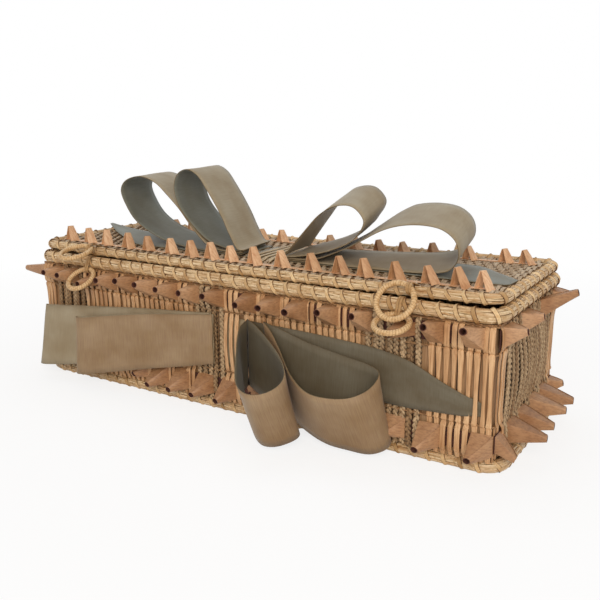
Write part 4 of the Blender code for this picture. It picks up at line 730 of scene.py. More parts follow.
class Wall:
    """One side of the box, with places along it, out of its liner's face, and up."""

    def __init__(self, name, half, face, quarter):
        self.name, self.half, self.face = name, half, face
        self.turn = quarter * math.pi / 2

    def at(self, along, out=0.0, up=0.0):
        return Matrix.Rotation(self.turn, 3, "Z") @ Vector((along, -self.face - out, up))

    def braid_spans(self):
        if self.face == END_FACE:
            return [tuple(share * HALF_WIDTH for share in END_BRAID_SPAN)]
        return [tuple(share * HALF_LENGTH for share in span) for span in BRAID_SPANS]

    def folds(self, upper):
        """Middle of the foot along the wall, and form, of each folded point on this wall."""
        if self.name == "front":
            tips = UPPER_TIPS if upper else LOWER_TIPS
            forms = [(share * HALF_LENGTH, front_form(place, share, upper)) for place, share in enumerate(tips)]
        elif self.name == "back":
            form = POINT_FORMS["back_upper" if upper else "back_lower"]
            forms = [((k - 8) * BACK_PITCH, form) for k in range(17)]
        else:
            forms = [(share * END_ROW_HALF, (*(size * half for half in END_POINT_FOOT), 0.0, reach, rise))
                     for share, reach, rise, size in END_ROWS[self.name, upper]]
        return [(tip - form[2] * MM, form) for tip, form in forms]


def front_form(place, share, upper):
    """The form of one of the front wall's points, by its place in the row and share of the half length."""
    if upper:
        rising = (*POINT_FORMS["upper"][:4], UPPER_RISES[place])
        return POINT_FORMS["hooked"] if is_near(share, HOOKED_TIPS, 0.01) else rising
    if any(low < share < high for low, high in PRESSED_SPANS):
        return POINT_FORMS["flat" if 0 < share < FLAT_TIP else "pressed"]
    return POINT_FORMS["lower"]


def is_near(value, spots, reach):
    return any(abs(value - spot) < reach for spot in spots)


def passes_over(wall, along, margin):
    """Whether a splint or braid there runs over the strip of the upper and the lower row of points."""
    return [not any(abs(along - middle) < (form[0] + margin) * MM for middle, form in wall.folds(upper))
            for upper in (True, False)]


WALLS = (Wall("front", 150.1 * MM, LONG_FACE, 0), Wall("right", LONG_FACE, END_FACE, 1),
         Wall("back", 150.1 * MM, LONG_FACE, 2), Wall("left", LONG_FACE, END_FACE, 3))
# Points: half width and half height of the foot, then the tip's offset along, its reach and its rise
POINT_FORMS = {
    "upper": (4.2, 5.6, -1.0, 15.0, 3.6), "hooked": (4.2, 3.18, -3.0, 15.0, -0.8),
    "lower": (5.4, 5.5, -3.4, 12.75, -5.4), "pressed": (5.2, 5.3, -3.4, 6.3, -4.0),
    "flat": (5.2, 5.3, -1.0, 2.8, -1.0),
    "back_upper": (5.0, 5.5, 0.0, 15.0, 3.6), "back_lower": (5.0, 5.5, 0.0, 12.75, -5.0),
}
# Upright: height, distance out and half width of its stations, in millimetres
UPRIGHT_FOOT = ((6.4, 0.8, 1.0), (8.5, 0.9, 1.3), (16.0, 1.0, 1.2), (22.5, 1.1, 1.35), (24.2, 1.2, 1.5),
                (24.7, 1.0, 1.0))
UPRIGHT_FOOT_OVER = ((6.4, 0.9, 1.0), (9.0, 1.7, 1.35), (10.6, 2.75, 1.4), (16.0, 2.95, 1.3),
                     (21.4, 2.75, 1.4), (23.0, 1.8, 1.4), (24.7, 1.1, 1.0))
UPRIGHT_MIDDLE = ((24.3, 1.6, 0.9), (25.2, 2.15, 1.35), (26.6, 1.8, 1.35), (30.0, 1.5, 1.15), (36.0, 1.6, 0.98),
                  (44.0, 1.7, 0.98), (52.0, 1.65, 1.2), (57.5, 1.8, 1.5), (60.2, 2.2, 1.55), (61.3, 1.7, 1.1))
UPRIGHT_HEAD = ((61.0, 1.1, 1.0), (62.0, 1.2, 1.4), (68.0, 0.9, 1.3), (73.0, 1.0, 1.35), (74.8, 0.8, 1.2))
UPRIGHT_HEAD_OVER = ((61.0, 1.3, 1.0), (61.9, 2.2, 1.45), (63.4, 2.8, 1.45), (68.0, 3.0, 1.35),
                     (72.4, 2.75, 1.45), (73.7, 1.7, 1.4), (74.8, 0.9, 1.2))
UPRIGHT_HALF_THICK = 0.42 * MM
# Forms of an upright after the first four, which go under or over the strips
HEADLESS, MIDDLELESS, HEADLESS_OVER = 4, 5, 6
HEADLESS_REACH = 3.6 * MM       # uprights this near a hinge ring stop under it
BRAID_CLEARANCE = 1.3 * MM      # no upright stands nearer to the braids
# Front band under the knot: distance out, top and foot
FRONT_BAND_OUT, FRONT_BAND_TOP, FRONT_BAND_FOOT = 0.55 * MM, 57.5 * MM, 28.0 * MM
# Front knot: height, distance out and half width of its splints' middle stations, in millimetres
KNOT_MIDDLE = ((25.6, 1.3, 1.0), (26.6, 2.0, 1.3), (31.0, 2.7, 1.25), (42.0, 3.6, 1.2), (53.0, 2.9, 1.3),
               (58.0, 2.1, 1.45), (60.2, 1.7, 1.1))
# Lid knot: its middle along the lid, from one splint to the next and their rise over the ribbon's base, then
# place from front to back, height and half width of each splint's stations in millimetres
LID_KNOT_MIDDLE, LID_KNOT_PITCH, LID_KNOT_RISE = 2.5 * MM, 4.2 * MM, 0.95 * MM
LID_KNOT = ((-28.5, -1.9, 0.9), (-26.0, -0.9, 1.3), (-23.0, 0.0, 1.35), (-5.0, 0.15, 1.15),
            (5.0, 0.1, 1.2), (14.0, 0.0, 1.35), (16.2, -0.6, 1.3), (17.6, -1.6, 0.9))
BRAID_FOOT = 6.6 * MM
BRAID_HOP = 1.5 * MM            # how far a braid stands out where it passes over a folded strip
BRAID_BOWS = (0.0, 0.5 * MM, 1.3 * MM, 2.2 * MM)


def upright_skin(parts):
    """A narrow upright splint: it swells between the twined rows and has rounded shoulders at them."""
    skin = Skin()
    for part in parts:
        stations = smooth([Vector(row) for row in part], 2)
        skin.loft([flat_ring(Vector((0, -s.y, s.x)) * MM, ACROSS, BACKWARD, s.z * MM, UPRIGHT_HALF_THICK)
                   for s in stations])
    return skin


def point_skin(form):
    """A point folded from a wide splint: creased faces from a square foot to a round open tip, under one flap."""
    half, tall, lean, reach, rise = (value * MM for value in form)
    foot, tip = Vector((0, -STRIP_OUT, 0)), Vector((lean, -reach, rise))
    axis = (tip - foot).normalized()
    across = (ACROSS - axis * axis.x).normalized()
    up = across.cross(axis)
    up = up if up.z > 0 else -up
    mouth, corner, wall, per_corner = 1.75 * MM, 0.35 * MM, 0.4 * MM, 5
    # The mouth is cut aslant: its rim turns half way back to face straight out of the wall
    facing = (axis + Vector((0.25, -0.9, 0.0))).normalized()
    base, end = [], []
    for k in range(4 * per_corner):
        quarter, step = divmod(k, per_corner)
        angle = math.radians(45 + 90 * quarter + 80 * (step / (per_corner - 1) - 0.5))
        c, s = math.cos(angle), math.sin(angle)
        base.append(foot + Vector((math.copysign(half - corner, c) + corner * c, 0,
                                   math.copysign(tall - corner, s) + corner * s)))
        rim = mouth * (c * across + s * up)
        end.append(tip + rim - axis * (rim.dot(facing) / axis.dot(facing)))
    skin = Skin()
    rings = []
    for t in (0.0, 0.25, 0.5, 0.75, 0.9, 1.0):
        sharp = 1 - t ** 4
        ring = []
        for k, (b, e) in enumerate(zip(base, end)):
            quarter = math.radians(45 + 90 * (k // per_corner))
            square = tip + mouth * 1.15 * (math.cos(quarter) * across + math.sin(quarter) * up)
            ring.append(b.lerp(e.lerp(square, sharp), t))
        rings.append(ring)
    skin.loft(rings, caps=False)
    skin.add(base, [tuple(range(len(base)))])
    # The inside of the open tip takes painted shade
    lip = [p + (tip - p).normalized() * wall for p in end]
    deep = [p - axis * min(5.0 * MM, reach * 0.35) for p in lip]
    skin.loft([end, lip, deep], caps=False, bore=True)
    skin.add(deep, [tuple(range(len(deep)))], bore=True)
    # The flap runs from the right edge of the foot to the lower right half of the tip
    low, high = base[-3] + Vector((0.3, -0.2, -0.2)) * MM, base[2] + Vector((0.3, -0.2, 0.1)) * MM
    inner, outer = [], []
    for i in range(6):
        t = i / 5
        edge = [low.lerp(high, j / 4) for j in range(5)]
        arc = [tip + (mouth + 0.1 * MM) * (math.cos(a) * across + math.sin(a) * up)
               for a in (math.radians(-80 + 42 * j) for j in range(5))]
        row = [e.lerp(m, t * 0.97) for e, m in zip(edge, arc)]
        bulge = 0.25 * MM + 0.35 * MM * math.sin(math.pi * t)
        normal = (row[-1] - row[0]).cross(axis).normalized()
        normal = normal if normal.x > 0 else -normal
        outer.append([p + normal * (bulge + 0.3 * MM) for p in row])
        inner.append([p + normal * (bulge - 0.05 * MM) for p in row])
    skin.loft([o + n[::-1] for o, n in zip(outer, inner)])
    return skin


# Braids: their length, how far they stand out, where the bow of the end ones starts and how long it is, and
# how far from a folded strip they start to rise over it
BRAID_LENGTH, BRAID_OUT = 68.0 * MM, 1.25 * MM
BRAID_BOW_START, BRAID_BOW_LENGTH, BRAID_HOP_REACH = 18.0 * MM, 36.0 * MM, 7.0 * MM


def braid_skin(height, bow, mirrored, over, strands=3):
    """A flat plait of three grass strands, one crossing every 2.7 mm. It bows out between its ends, and over
    the folded strips at the heights in over."""
    skin = Skin()
    period, sway, depth, radius = 8.1 * MM, 1.0 * MM, 0.55 * MM, 0.84 * MM
    steps = int(height / period * 10)
    for strand in range(strands):
        path = []
        for i in range(steps + 1):
            z = height * i / steps
            angle = 2 * math.pi * (z / period + strand / strands)
            path.append(Vector((mirrored * sway * math.sin(angle), depth * math.sin(2 * angle), z)))
        rings, groove_shades = [], []
        for i, point in enumerate(path):
            along = (path[min(i + 1, steps)] - path[max(i - 1, 0)]).normalized()
            across = along.cross(BACKWARD).normalized()
            ring = flat_ring(point, across, along.cross(across), radius, radius * 0.7, 6, 1.0)
            # How far back towards the wall each point lies; the finish paints shade there
            groove_shades += [(p.y / (depth + radius * 0.7) + 1) / 2 for p in ring]
            swell = bow * math.sin(math.pi * min(1.0, max(0.0, (point.z - BRAID_BOW_START) / BRAID_BOW_LENGTH)))
            swell += sum(BRAID_HOP * max(0.0, 1 - ((point.z - middle) / BRAID_HOP_REACH) ** 4) for middle in over)
            rings.append([p - Vector((0, swell, 0)) for p in ring])
        skin.loft(rings, groove_shades=groove_shades)
    return skin


class BOX_OT_uprights(bpy.types.Operator):
    """Narrow upright splints of the four walls, over or under the folded strips"""
    bl_idname = "splint_box.uprights"
    bl_label = "Upright splints"

    def execute(self, context):
        sizes = context.scene.splint_box_sizes
        chance = random.Random(sizes.seed)
        forms = [upright_skin((foot, UPRIGHT_MIDDLE, head)) for head in (UPRIGHT_HEAD, UPRIGHT_HEAD_OVER)
                 for foot in (UPRIGHT_FOOT, UPRIGHT_FOOT_OVER)]
        forms += [upright_skin((UPRIGHT_FOOT, UPRIGHT_MIDDLE)), upright_skin((UPRIGHT_FOOT, UPRIGHT_HEAD)),
                  upright_skin((UPRIGHT_FOOT_OVER, UPRIGHT_MIDDLE))]
        for wall in WALLS:
            bowed = [share * HALF_LENGTH for share in BOWED_SPAN] if wall.name == "front" else (1.0, 1.0, 1.0)
            count = int(2 * wall.half / sizes.splint_pitch)
            rows = []
            corners = [-wall.half - 0.7 * MM, wall.half + 0.7 * MM] if wall.face == LONG_FACE else []
            for along in [(k + 0.5 - count / 2) * sizes.splint_pitch for k in range(count)] + corners:
                if any(low - BRAID_CLEARANCE < along < high + BRAID_CLEARANCE for low, high in wall.braid_spans()):
                    continue
                if bowed[0] < along < bowed[1]:
                    continue
                over = passes_over(wall, along, -0.6)
                form = 2 * over[0] + over[1]
                if wall.name == "back" and is_near(along, HINGE_PLACES, HEADLESS_REACH):
                    form = HEADLESS_OVER if over[1] else HEADLESS
                if bowed[1] < along < bowed[2]:
                    form = MIDDLELESS
                place = wall.at(along + chance.uniform(-0.22, 0.22) * MM)
                turn = (chance.uniform(-0.004, 0.004), chance.uniform(-0.008, 0.008),
                        wall.turn + chance.uniform(-0.06, 0.06))
                rows.append((form, place, turn, (chance.uniform(0.86, 1.04), 1.0, 1.0), chance.random()))
            piece = set_out(wall.name + "_upright_splints", forms, rows, "upright_ash")
            settle(piece, "box", (wall.name + "_splints",))
        return {"FINISHED"}


class BOX_OT_braids(bpy.types.Operator):
    """Upright braids of sweetgrass between the splints"""
    bl_idname = "splint_box.braids"
    bl_label = "Grass braids"

    def execute(self, context):
        sizes = context.scene.splint_box_sizes
        chance = random.Random(sizes.seed + 1)
        strips = (UPPER_ROW - BRAID_FOOT, LOWER_ROW - BRAID_FOOT)
        crossed = ((), strips[1:], strips[:1], strips)
        forms = [braid_skin(BRAID_LENGTH, bow, mirrored, over)
                 for bow in BRAID_BOWS for over in crossed for mirrored in (-1, 1)]
        for wall in WALLS:
            rows = []
            for low, high in wall.braid_spans():
                count = round((high - low) / sizes.braid_pitch)
                for k in range(count):
                    along = low + (k + 0.5) * (high - low) / count
                    over = passes_over(wall, along, 0.4)
                    share = abs(2 * (k + 0.5) / count - 1)
                    bow = 0 if wall.face == LONG_FACE else 1 if share > 0.8 else 2 if share > 0.5 else 3
                    place = wall.at(along, BRAID_OUT, BRAID_FOOT + chance.uniform(-0.8, 0.8) * MM)
                    turn = (chance.uniform(-0.006, 0.006), chance.uniform(-0.02, 0.02), wall.turn)
                    rows.append((8 * bow + 4 * over[0] + 2 * over[1] + chance.randrange(2), place, turn,
                                 (chance.uniform(0.92, 1.06), 1.0, 1.0), chance.random()))
            labels = ("left", "middle", "right") if len(wall.braid_spans()) > 1 else ("",)
            nodes = ["_".join(word for word in (wall.name, label, "braids") if word) for label in labels]
            piece = set_out(wall.name + "_grass_braids", forms, rows, "braid_grass")
            settle(piece, "box", nodes)
        return {"FINISHED"}


TWINING_SPREAD, TWINING_RADIUS, TWINING_STEP = 0.34 * MM, 0.4 * MM, 1.3 * MM


class BOX_OT_twining(bpy.types.Operator):
    """Twined rows: two thin strands twisted round the uprights"""
    bl_idname = "splint_box.twining"
    bl_label = "Twined rows"

    def execute(self, context):
        sizes = context.scene.splint_box_sizes
        for label, height, out, nodes in (("upper", UPPER_TWINING, 1.3, ("upper_weavers",)),
                                          ("lower", LOWER_TWINING, 1.3, ("lower_weavers",)),
                                          ("top", TOP_TWINING, 1.5, ())):
            path = [p + Vector((0, 0, height)) for p in
                    round_rectangle(END_FACE + out * MM, LONG_FACE + out * MM, 1.0 * MM, 2)]
            piece = bundle(label + "_twining", loop_mesh(label, path), "weaver_ash", 2, TWINING_SPREAD, TWINING_RADIUS,
                           TWINING_STEP, 0.5 / sizes.splint_pitch, 0.5, sizes.seed)
            settle(piece, "box", nodes)
        return {"FINISHED"}


# The strip that wall points are folded from: how far it runs on past the last ones, and its section, as
# distance out and height in millimetres
STRIP_OVERHANG = 9.0 * MM
STRIP_SECTION = ((1.62, -4.6), (2.05, -4.6), (2.05, 4.6), (1.62, 4.6))


class BOX_OT_wall_points(bpy.types.Operator):
    """Folded points in two rows on each wall, and the strips that they are folded from"""
    bl_idname = "splint_box.wall_points"
    bl_label = "Folded wall points"

    def execute(self, context):
        chance = random.Random(context.scene.splint_box_sizes.seed + 2)
        for wall in WALLS:
            for upper in (True, False):
                row_height = UPPER_ROW if upper else LOWER_ROW
                folds = wall.folds(upper)
                forms = sorted({form for _, form in folds})
                rows = []
                for middle, form in folds:
                    turn = (chance.uniform(-0.03, 0.03), chance.uniform(-0.03, 0.03),
                            wall.turn + chance.uniform(-0.04, 0.04))
                    rows.append((forms.index(form), wall.at(middle, 0.0, row_height), turn,
                                 (chance.uniform(0.9, 1.12), 1.0, chance.uniform(0.95, 1.03)), chance.random()))
                strip = Skin()
                ends = [max(-wall.half, folds[0][0] - STRIP_OVERHANG), min(wall.half, folds[-1][0] + STRIP_OVERHANG)]
                # The strip takes painted shade, so that it shows dark between the uprights
                strip.loft([[Vector((x, -out * MM, up * MM)) for out, up in STRIP_SECTION] for x in ends], bore=True)
                rows.append((len(forms), wall.at(0.0, 0.0, row_height), (0.0, 0.0, wall.turn), UNSCALED, 0.4))
                label = f"{wall.name}_{'upper' if upper else 'lower'}"
                piece = set_out(label + "_folded_points", [point_skin(form) for form in forms] + [strip], rows,
                                "folded_ash", "bore")
                settle(piece, "box", (label + "_points",), 28.0)
        return {"FINISHED"}


# Rims: a strand and the core as shares of the bundle's radius
STRAND_SHARE, CORE_SHARE, RIM_STEP = 0.15, 0.84, 3.0 * MM
FOOT_WRAPS_SUNK = 0.15 * MM     # the box stands on the foot rim's grass
BAND_THICKNESS = 0.3 * MM


class BOX_OT_rims(bpy.types.Operator):
    """Body, lid and foot rims: bundles of grass, with their lashing"""
    bl_idname = "splint_box.rims"
    bl_label = "Rims"

    def execute(self, context):
        sizes = context.scene.splint_box_sizes
        body = [p + Vector((0, 0, RIM_HEIGHT)) for p in round_rectangle(HALF_LENGTH, HALF_WIDTH, 8.5 * MM, 6, 12)]
        lid = [p + Vector((0, 0, lid_height(p.x)))
               for p in round_rectangle(LID_HALF_LENGTH, LID_HALF_WIDTH, 8.0 * MM, 6, 24)]
        foot = [p + Vector((0, 0, FOOT_RADIUS))
                for p in round_rectangle(HALF_LENGTH + 3.0 * MM, HALF_WIDTH - 2.75 * MM, 10.0 * MM, 6, 12)]
        for name, path, radius, rides_on in (("body_rim", body, RIM_RADIUS, "box"),
                                             ("lid_rim", lid, LID_RIM_RADIUS, "lid"),
                                             ("foot_rim", foot, FOOT_RADIUS, "box")):
            strand = radius * STRAND_SHARE
            grass = bundle(name + "_grass", loop_mesh(name, path), "rim_grass", sizes.rim_strands, radius - strand,
                           strand, RIM_STEP, 0.6, 0.9, sizes.seed)
            settle(grass, rides_on, (name,))
            # The dark core is painted shade that shows between the strands
            core = bundle(name + "_core", loop_mesh(name, path), "lash_shade", 1, 0.0, radius * CORE_SHARE, RIM_STEP)
            settle(core, rides_on)
            sunk = FOOT_WRAPS_SUNK if name == "foot_rim" else 0.0
            # Each lash lies on a wider dark band of painted shade, which shows as dark edges along it
            for label, width, rise, finish in (("lashing", 1.9, 0.12, "rim_lash"),
                                               ("lashing_bed", 2.4, 0.0, "lash_shade")):
                wraps = grown(f"{name}_{label}", loop_mesh(name, path), wraps_tree,
                              {"Spacing": sizes.lash_spacing, "Radius": radius + rise * MM - sunk,
                               "Band width": width * MM, "Band thickness": BAND_THICKNESS, "Lean": 0.38,
                               "Seed": sizes.seed, "Finish": finish_named(finish)})
                settle(wraps, rides_on, (), 60.0)
        return {"FINISHED"}


class BOX_OT_floor_and_liners(bpy.types.Operator):
    """Finish of the wide splints that stay as the frame has them"""
    bl_idname = "splint_box.floor_and_liners"
    bl_label = "Floor and liners"

    def execute(self, context):
        for name in ("floor_splints", "lid_panel", "front_wall_liner", "back_wall_liner", "left_wall_liner",
                     "right_wall_liner"):
            finish = finish_named("wide_ash" if name.endswith("liner") else "woven_wide_ash")
            frame["nodes"][name].material_slots[0].material = finish
        return {"FINISHED"}


def round_angles(count):
    return [2 * math.pi * k / count for k in range(count)]


def wrapped_tube(path, radius, pitch, sides=10):
    """The skin of a closed tube under a close helical wrapping, with grooves between the turns that the finish fills
    with painted shade.
    """
    count = len(path)
    length = sum((path[(i + 1) % count] - path[i]).length for i in range(count))
    turns = round(length / pitch)
    rings, groove_shades = [], []
    for i, point in enumerate(path):
        along = (path[(i + 1) % count] - path[i - 1]).normalized()
        inward = (path[(i + count // 2) % count] - point).normalized()
        across = along.cross(inward).normalized()
        ring = []
        for k in range(sides):
            angle = 2 * math.pi * k / sides
            wave = 0.5 + 0.5 * math.cos(2 * math.pi * turns * i / count + angle)
            ring.append(point + radius * (0.9 + 0.13 * math.sqrt(wave)) * (math.cos(angle) * inward
                                                                        + math.sin(angle) * across))
            groove_shades.append((1 - wave) ** 2)
        rings.append(ring)
    skin = Skin()
    skin.loft(rings, closed=True, groove_shades=groove_shades)
    return skin


class BOX_OT_rings(bpy.types.Operator):
    """Hinge rings at the back, and the two pairs of closing rings at the front"""
    bl_idname = "splint_box.rings"
    bl_label = "Grass rings"

    def execute(self, context):
        pitch = context.scene.splint_box_sizes.ring_wrap_pitch
        for name, (pivot, radius, turn, lean) in CLOSING_RINGS.items():
            pivot, radius = Vector(pivot) * MM, radius * MM
            turn, lean = math.radians(turn), math.radians(lean)
            down = Vector((0, -math.sin(lean), -math.cos(lean)))
            centre = pivot - ACROSS * radius * math.sin(turn) + down * radius * math.cos(turn)
            skin = wrapped_tube([centre + radius * (math.cos(a) * ACROSS + math.sin(a) * down)
                                 for a in round_angles(RING_STEPS)], RING_TUBE, pitch)
            settle(plain_piece(name + "_wrapped", skin, ("ring_grass",)), name, (name,), 70.0)
        for label, x in zip(("left", "right"), HINGE_PLACES):
            path = [HINGE_AXIS + Vector((x, HINGE_RING_REACH * math.cos(a), HINGE_RING_REACH * math.sin(a)))
                    for a in round_angles(RING_STEPS)]
            skin = wrapped_tube(path, HINGE_RING_TUBE, pitch)
            settle(plain_piece(f"hinge_ring_{label}_wrapped", skin, ("ring_grass",)), "box",
                   (f"hinge_ring_{label}",), 70.0)
        return {"FINISHED"}


class BOX_OT_ring_ties(bpy.types.Operator):
    """Splint ties that hold the closing rings to their rims"""
    bl_idname = "splint_box.ring_ties"
    bl_label = "Ring ties"

    def execute(self, context):
        for name, (pivot, _, turn, _) in CLOSING_RINGS.items():
            body = "lid" if name.startswith("lid") else "box"
            x = pivot[0] * MM
            if body == "lid":
                near, reach = Vector((x, -LID_HALF_WIDTH, lid_height(x))), LID_RIM_RADIUS
            else:
                near, reach = Vector((x, -HALF_WIDTH, RIM_HEIGHT)), RIM_RADIUS
            far = Vector(pivot) * MM
            near_reach = reach + 0.62 * MM
            far_reach = RING_TUBE / math.cos(math.radians(turn)) + 0.8 * MM
            axis = (far - near).normalized()
            square = ACROSS.cross(axis)
            spread = math.acos((near_reach - far_reach) / (far - near).length)
            path = [far + far_reach * (math.cos(a) * axis + math.sin(a) * square)
                    for a in (-spread + 2 * spread * k / 10 for k in range(11))]
            path += [near + near_reach * (math.cos(a) * axis + math.sin(a) * square)
                     for a in (spread + 2 * (math.pi - spread) * k / 14 for k in range(1, 14))]
            skin = Skin()
            for shift in (-0.75, 0.75):
                moved = [p + Vector((shift * MM, 0, 0)) for p in path]
                rings = []
                for i, point in enumerate(moved):
                    along = (moved[(i + 1) % len(moved)] - moved[i - 1]).normalized()
                    rings.append(flat_ring(point, ACROSS, along.cross(ACROSS), 0.65 * MM, 0.2 * MM))
                skin.loft(rings, closed=True)
            node = name.replace("ring_", "ring_tie_")
            settle(plain_piece(node + "_splint", skin, ("rim_lash",)), body, (node,))
        return {"FINISHED"}


def tent_skin():
    """A splint folded over a ridge into a tent: open at both ends, creased twice along its right slab."""
    skin = Skin()
    # Across, height and half depth of each corner of the fold, outside, then how far its middle stands out
    folds = ((-3.2, 0.1, 2.9, 0.0), (-2.5, 5.0, 2.3, 0.2), (-1.7, 9.3, 1.7, 0.1), (-0.5, 9.5, 1.7, 0.1),
             (2.5, 4.9, 2.5, 0.5), (5.5, 0.1, 3.0, 0.5))
    thick, rings = 0.45, []
    for i, (x, z, half, crown) in enumerate(folds):
        before, after = folds[max(i - 1, 0)], folds[min(i + 1, len(folds) - 1)]
        out = Vector((before[1] - after[1], 0, after[0] - before[0])).normalized()
        ring = [Vector((x, share * half, z)) + out * (crown if abs(share) < 0.5 else 0.0)
                for share in (-1.0, -0.36, -0.28, 0.28, 0.36, 1.0)]
        ring += [p - out * thick for p in reversed(ring)]
        rings.append([p * MM for p in ring])
    skin.loft(rings)
    return skin


# On the lid, over its rim's centre line: the narrow splints, the weavers under them and the tents' feet
SPLINT_RISE, WEAVER_RISE, TENT_RISE = 1.25 * MM, 1.15 * MM, 1.75 * MM
WEAVER_STEPS = 80
# The strip under each row of tents: how far it runs on past the last ones, and its section, as depth and
# height in millimetres
TENT_STRIP_OVERHANG = 6.0 * MM
TENT_STRIP_SECTION = ((-1.5, 1.9), (1.5, 1.9), (1.5, 2.25), (-1.5, 2.25))
TENT_STRIP_STEPS = 24


def strand_skin(length, wave, phase):
    """A narrow lid splint that goes over and under the cross weavers."""
    skin, rings = Skin(), []
    steps = int(2 * length / wave) * 4
    for i in range(steps + 1):
        y = length * (i / steps - 0.5)
        swell = math.sin(2 * math.pi * y / wave + phase)
        rings.append(flat_ring(Vector((0.12 * MM * math.sin(y * 900), y, 0.62 * MM * swell)), ACROSS, UPWARD,
                               (0.92 + 0.22 * swell) * MM, 0.4 * MM, 6, 0.8))
    skin.loft(rings)
    return skin


class BOX_OT_lid_weave(bpy.types.Operator):
    """Narrow splints across the lid, woven over and under thin weavers"""
    bl_idname = "splint_box.lid_weave"
    bl_label = "Lid weave"

    def execute(self, context):
        sizes = context.scene.splint_box_sizes
        chance = random.Random(sizes.seed + 3)
        wave = 2 * sizes.lid_weaver_pitch
        length = 2 * (LID_HALF_WIDTH - LID_RIM_RADIUS - 0.6 * MM)
        forms = [strand_skin(length, wave, 0.0), strand_skin(length, wave, math.pi)]
        half = LID_HALF_LENGTH - LID_RIM_RADIUS - 1.0 * MM
        count = int(2 * half / sizes.lid_splint_pitch)
        rows = []
        for k in range(count):
            x = (k + 0.5 - count / 2) * sizes.lid_splint_pitch
            short = 1.0 - 0.2 * max(0.0, (abs(x) - half + 4.0 * MM) / (8.0 * MM))
            place = (x + chance.uniform(-0.2, 0.2) * MM, 0.0, lid_height(x) + SPLINT_RISE)
            turn = (0.0, chance.uniform(-0.15, 0.15), chance.uniform(-0.012, 0.012))
            rows.append((k % 2, place, turn, (1.0, short, 1.0), chance.random()))
        piece = set_out("lid_narrow_splints", forms, rows, "lid_weave")
        settle(piece, "lid", ("lid_splints",))
        weavers = Skin()
        lines = int(length / sizes.lid_weaver_pitch)
        for j in range(lines):
            y = (j + 0.5 - lines / 2) * sizes.lid_weaver_pitch
            rings = []
            for i in range(WEAVER_STEPS + 1):
                x = half * (2 * i / WEAVER_STEPS - 1)
                rings.append(flat_ring(Vector((x, y, lid_height(x) + WEAVER_RISE)), BACKWARD, UPWARD,
                                       0.6 * MM, 0.2 * MM, 6, 0.8))
            weavers.loft(rings)
        settle(plain_piece("lid_cross_weavers", weavers, ("lid_weave",)), "lid")
        return {"FINISHED"}


class BOX_OT_lid_points(bpy.types.Operator):
    """Two rows of tent folds on the lid"""
    bl_idname = "splint_box.lid_points"
    bl_label = "Lid points"

    def execute(self, context):
        chance = random.Random(context.scene.splint_box_sizes.seed + 4)
        for label, shares, line, largest in (("front", FRONT_TENTS, FRONT_TENT_LINE, 1.04),
                                            ("back", BACK_TENTS, BACK_TENT_LINE, 0.84)):
            rows = []
            for share in shares:
                x = share * LID_HALF_LENGTH
                turn = (chance.uniform(-0.08, 0.08), chance.uniform(-0.07, 0.07),
                        TENT_TURN + chance.uniform(-0.12, 0.12))
                size = chance.uniform(0.9, 1.0) * largest
                rows.append((0, (x, line, lid_height(x) + TENT_RISE), turn, (size, 1.0, size), chance.random()))
            strip = Skin()
            ends = [share * LID_HALF_LENGTH for share in (shares[0], shares[-1])]
            span = ends[1] - ends[0] + 2 * TENT_STRIP_OVERHANG
            stops = [ends[0] - TENT_STRIP_OVERHANG + span * i / TENT_STRIP_STEPS for i in range(TENT_STRIP_STEPS + 1)]
            strip.loft([[Vector((x, line + y * MM, lid_height(x) + up * MM)) for y, up in TENT_STRIP_SECTION]
                        for x in stops])
            rows.append((1, (0.0, 0.0, 0.0), (0.0, 0.0, 0.0), UNSCALED, 0.5))
            piece = set_out(f"lid_{label}_tents", [tent_skin(), strip], rows, "tent_ash")
            settle(piece, "lid", (f"lid_{label}_points",), 25.0)
        return {"FINISHED"}


def ribbon_sides(node):
    """The finishes of a ribbon's two sides, the one that its faces look out of first."""
    # Both sides of the lid's tails take painted cool shade
    if node in TAILS:
        return "ribbon_inner", "ribbon_inner"
    # Both sides of the front tail take painted shade, as it lies in the loops' shadow
    if node == "front_bow_tail":
        return "ribbon_soiled", "ribbon_soiled"
    # Painted warm light on the outer side of the front loops that face the key lamp
    outer = "ribbon_worn" if node in WARM_LIT_RIBBONS else "ribbon"
    if node in LOOPS:
        # The left lid loops' first side takes painted cool shade
        return "ribbon_inner" if LOOPS[node][0] < 0 else "ribbon", outer
    # The open loops' inner sides take painted shade
    return outer, "ribbon_soiled" if node in OPEN_LOOPS else "ribbon"


RIBBON_COLUMNS = 9
RIPPLE, RIPPLE_WAVE = 0.22 * MM, 130    # faint waves along the ribbon, in radians a metre
GATHER_ROWS = 8                         # rows from the knot over which a ribbon is gathered


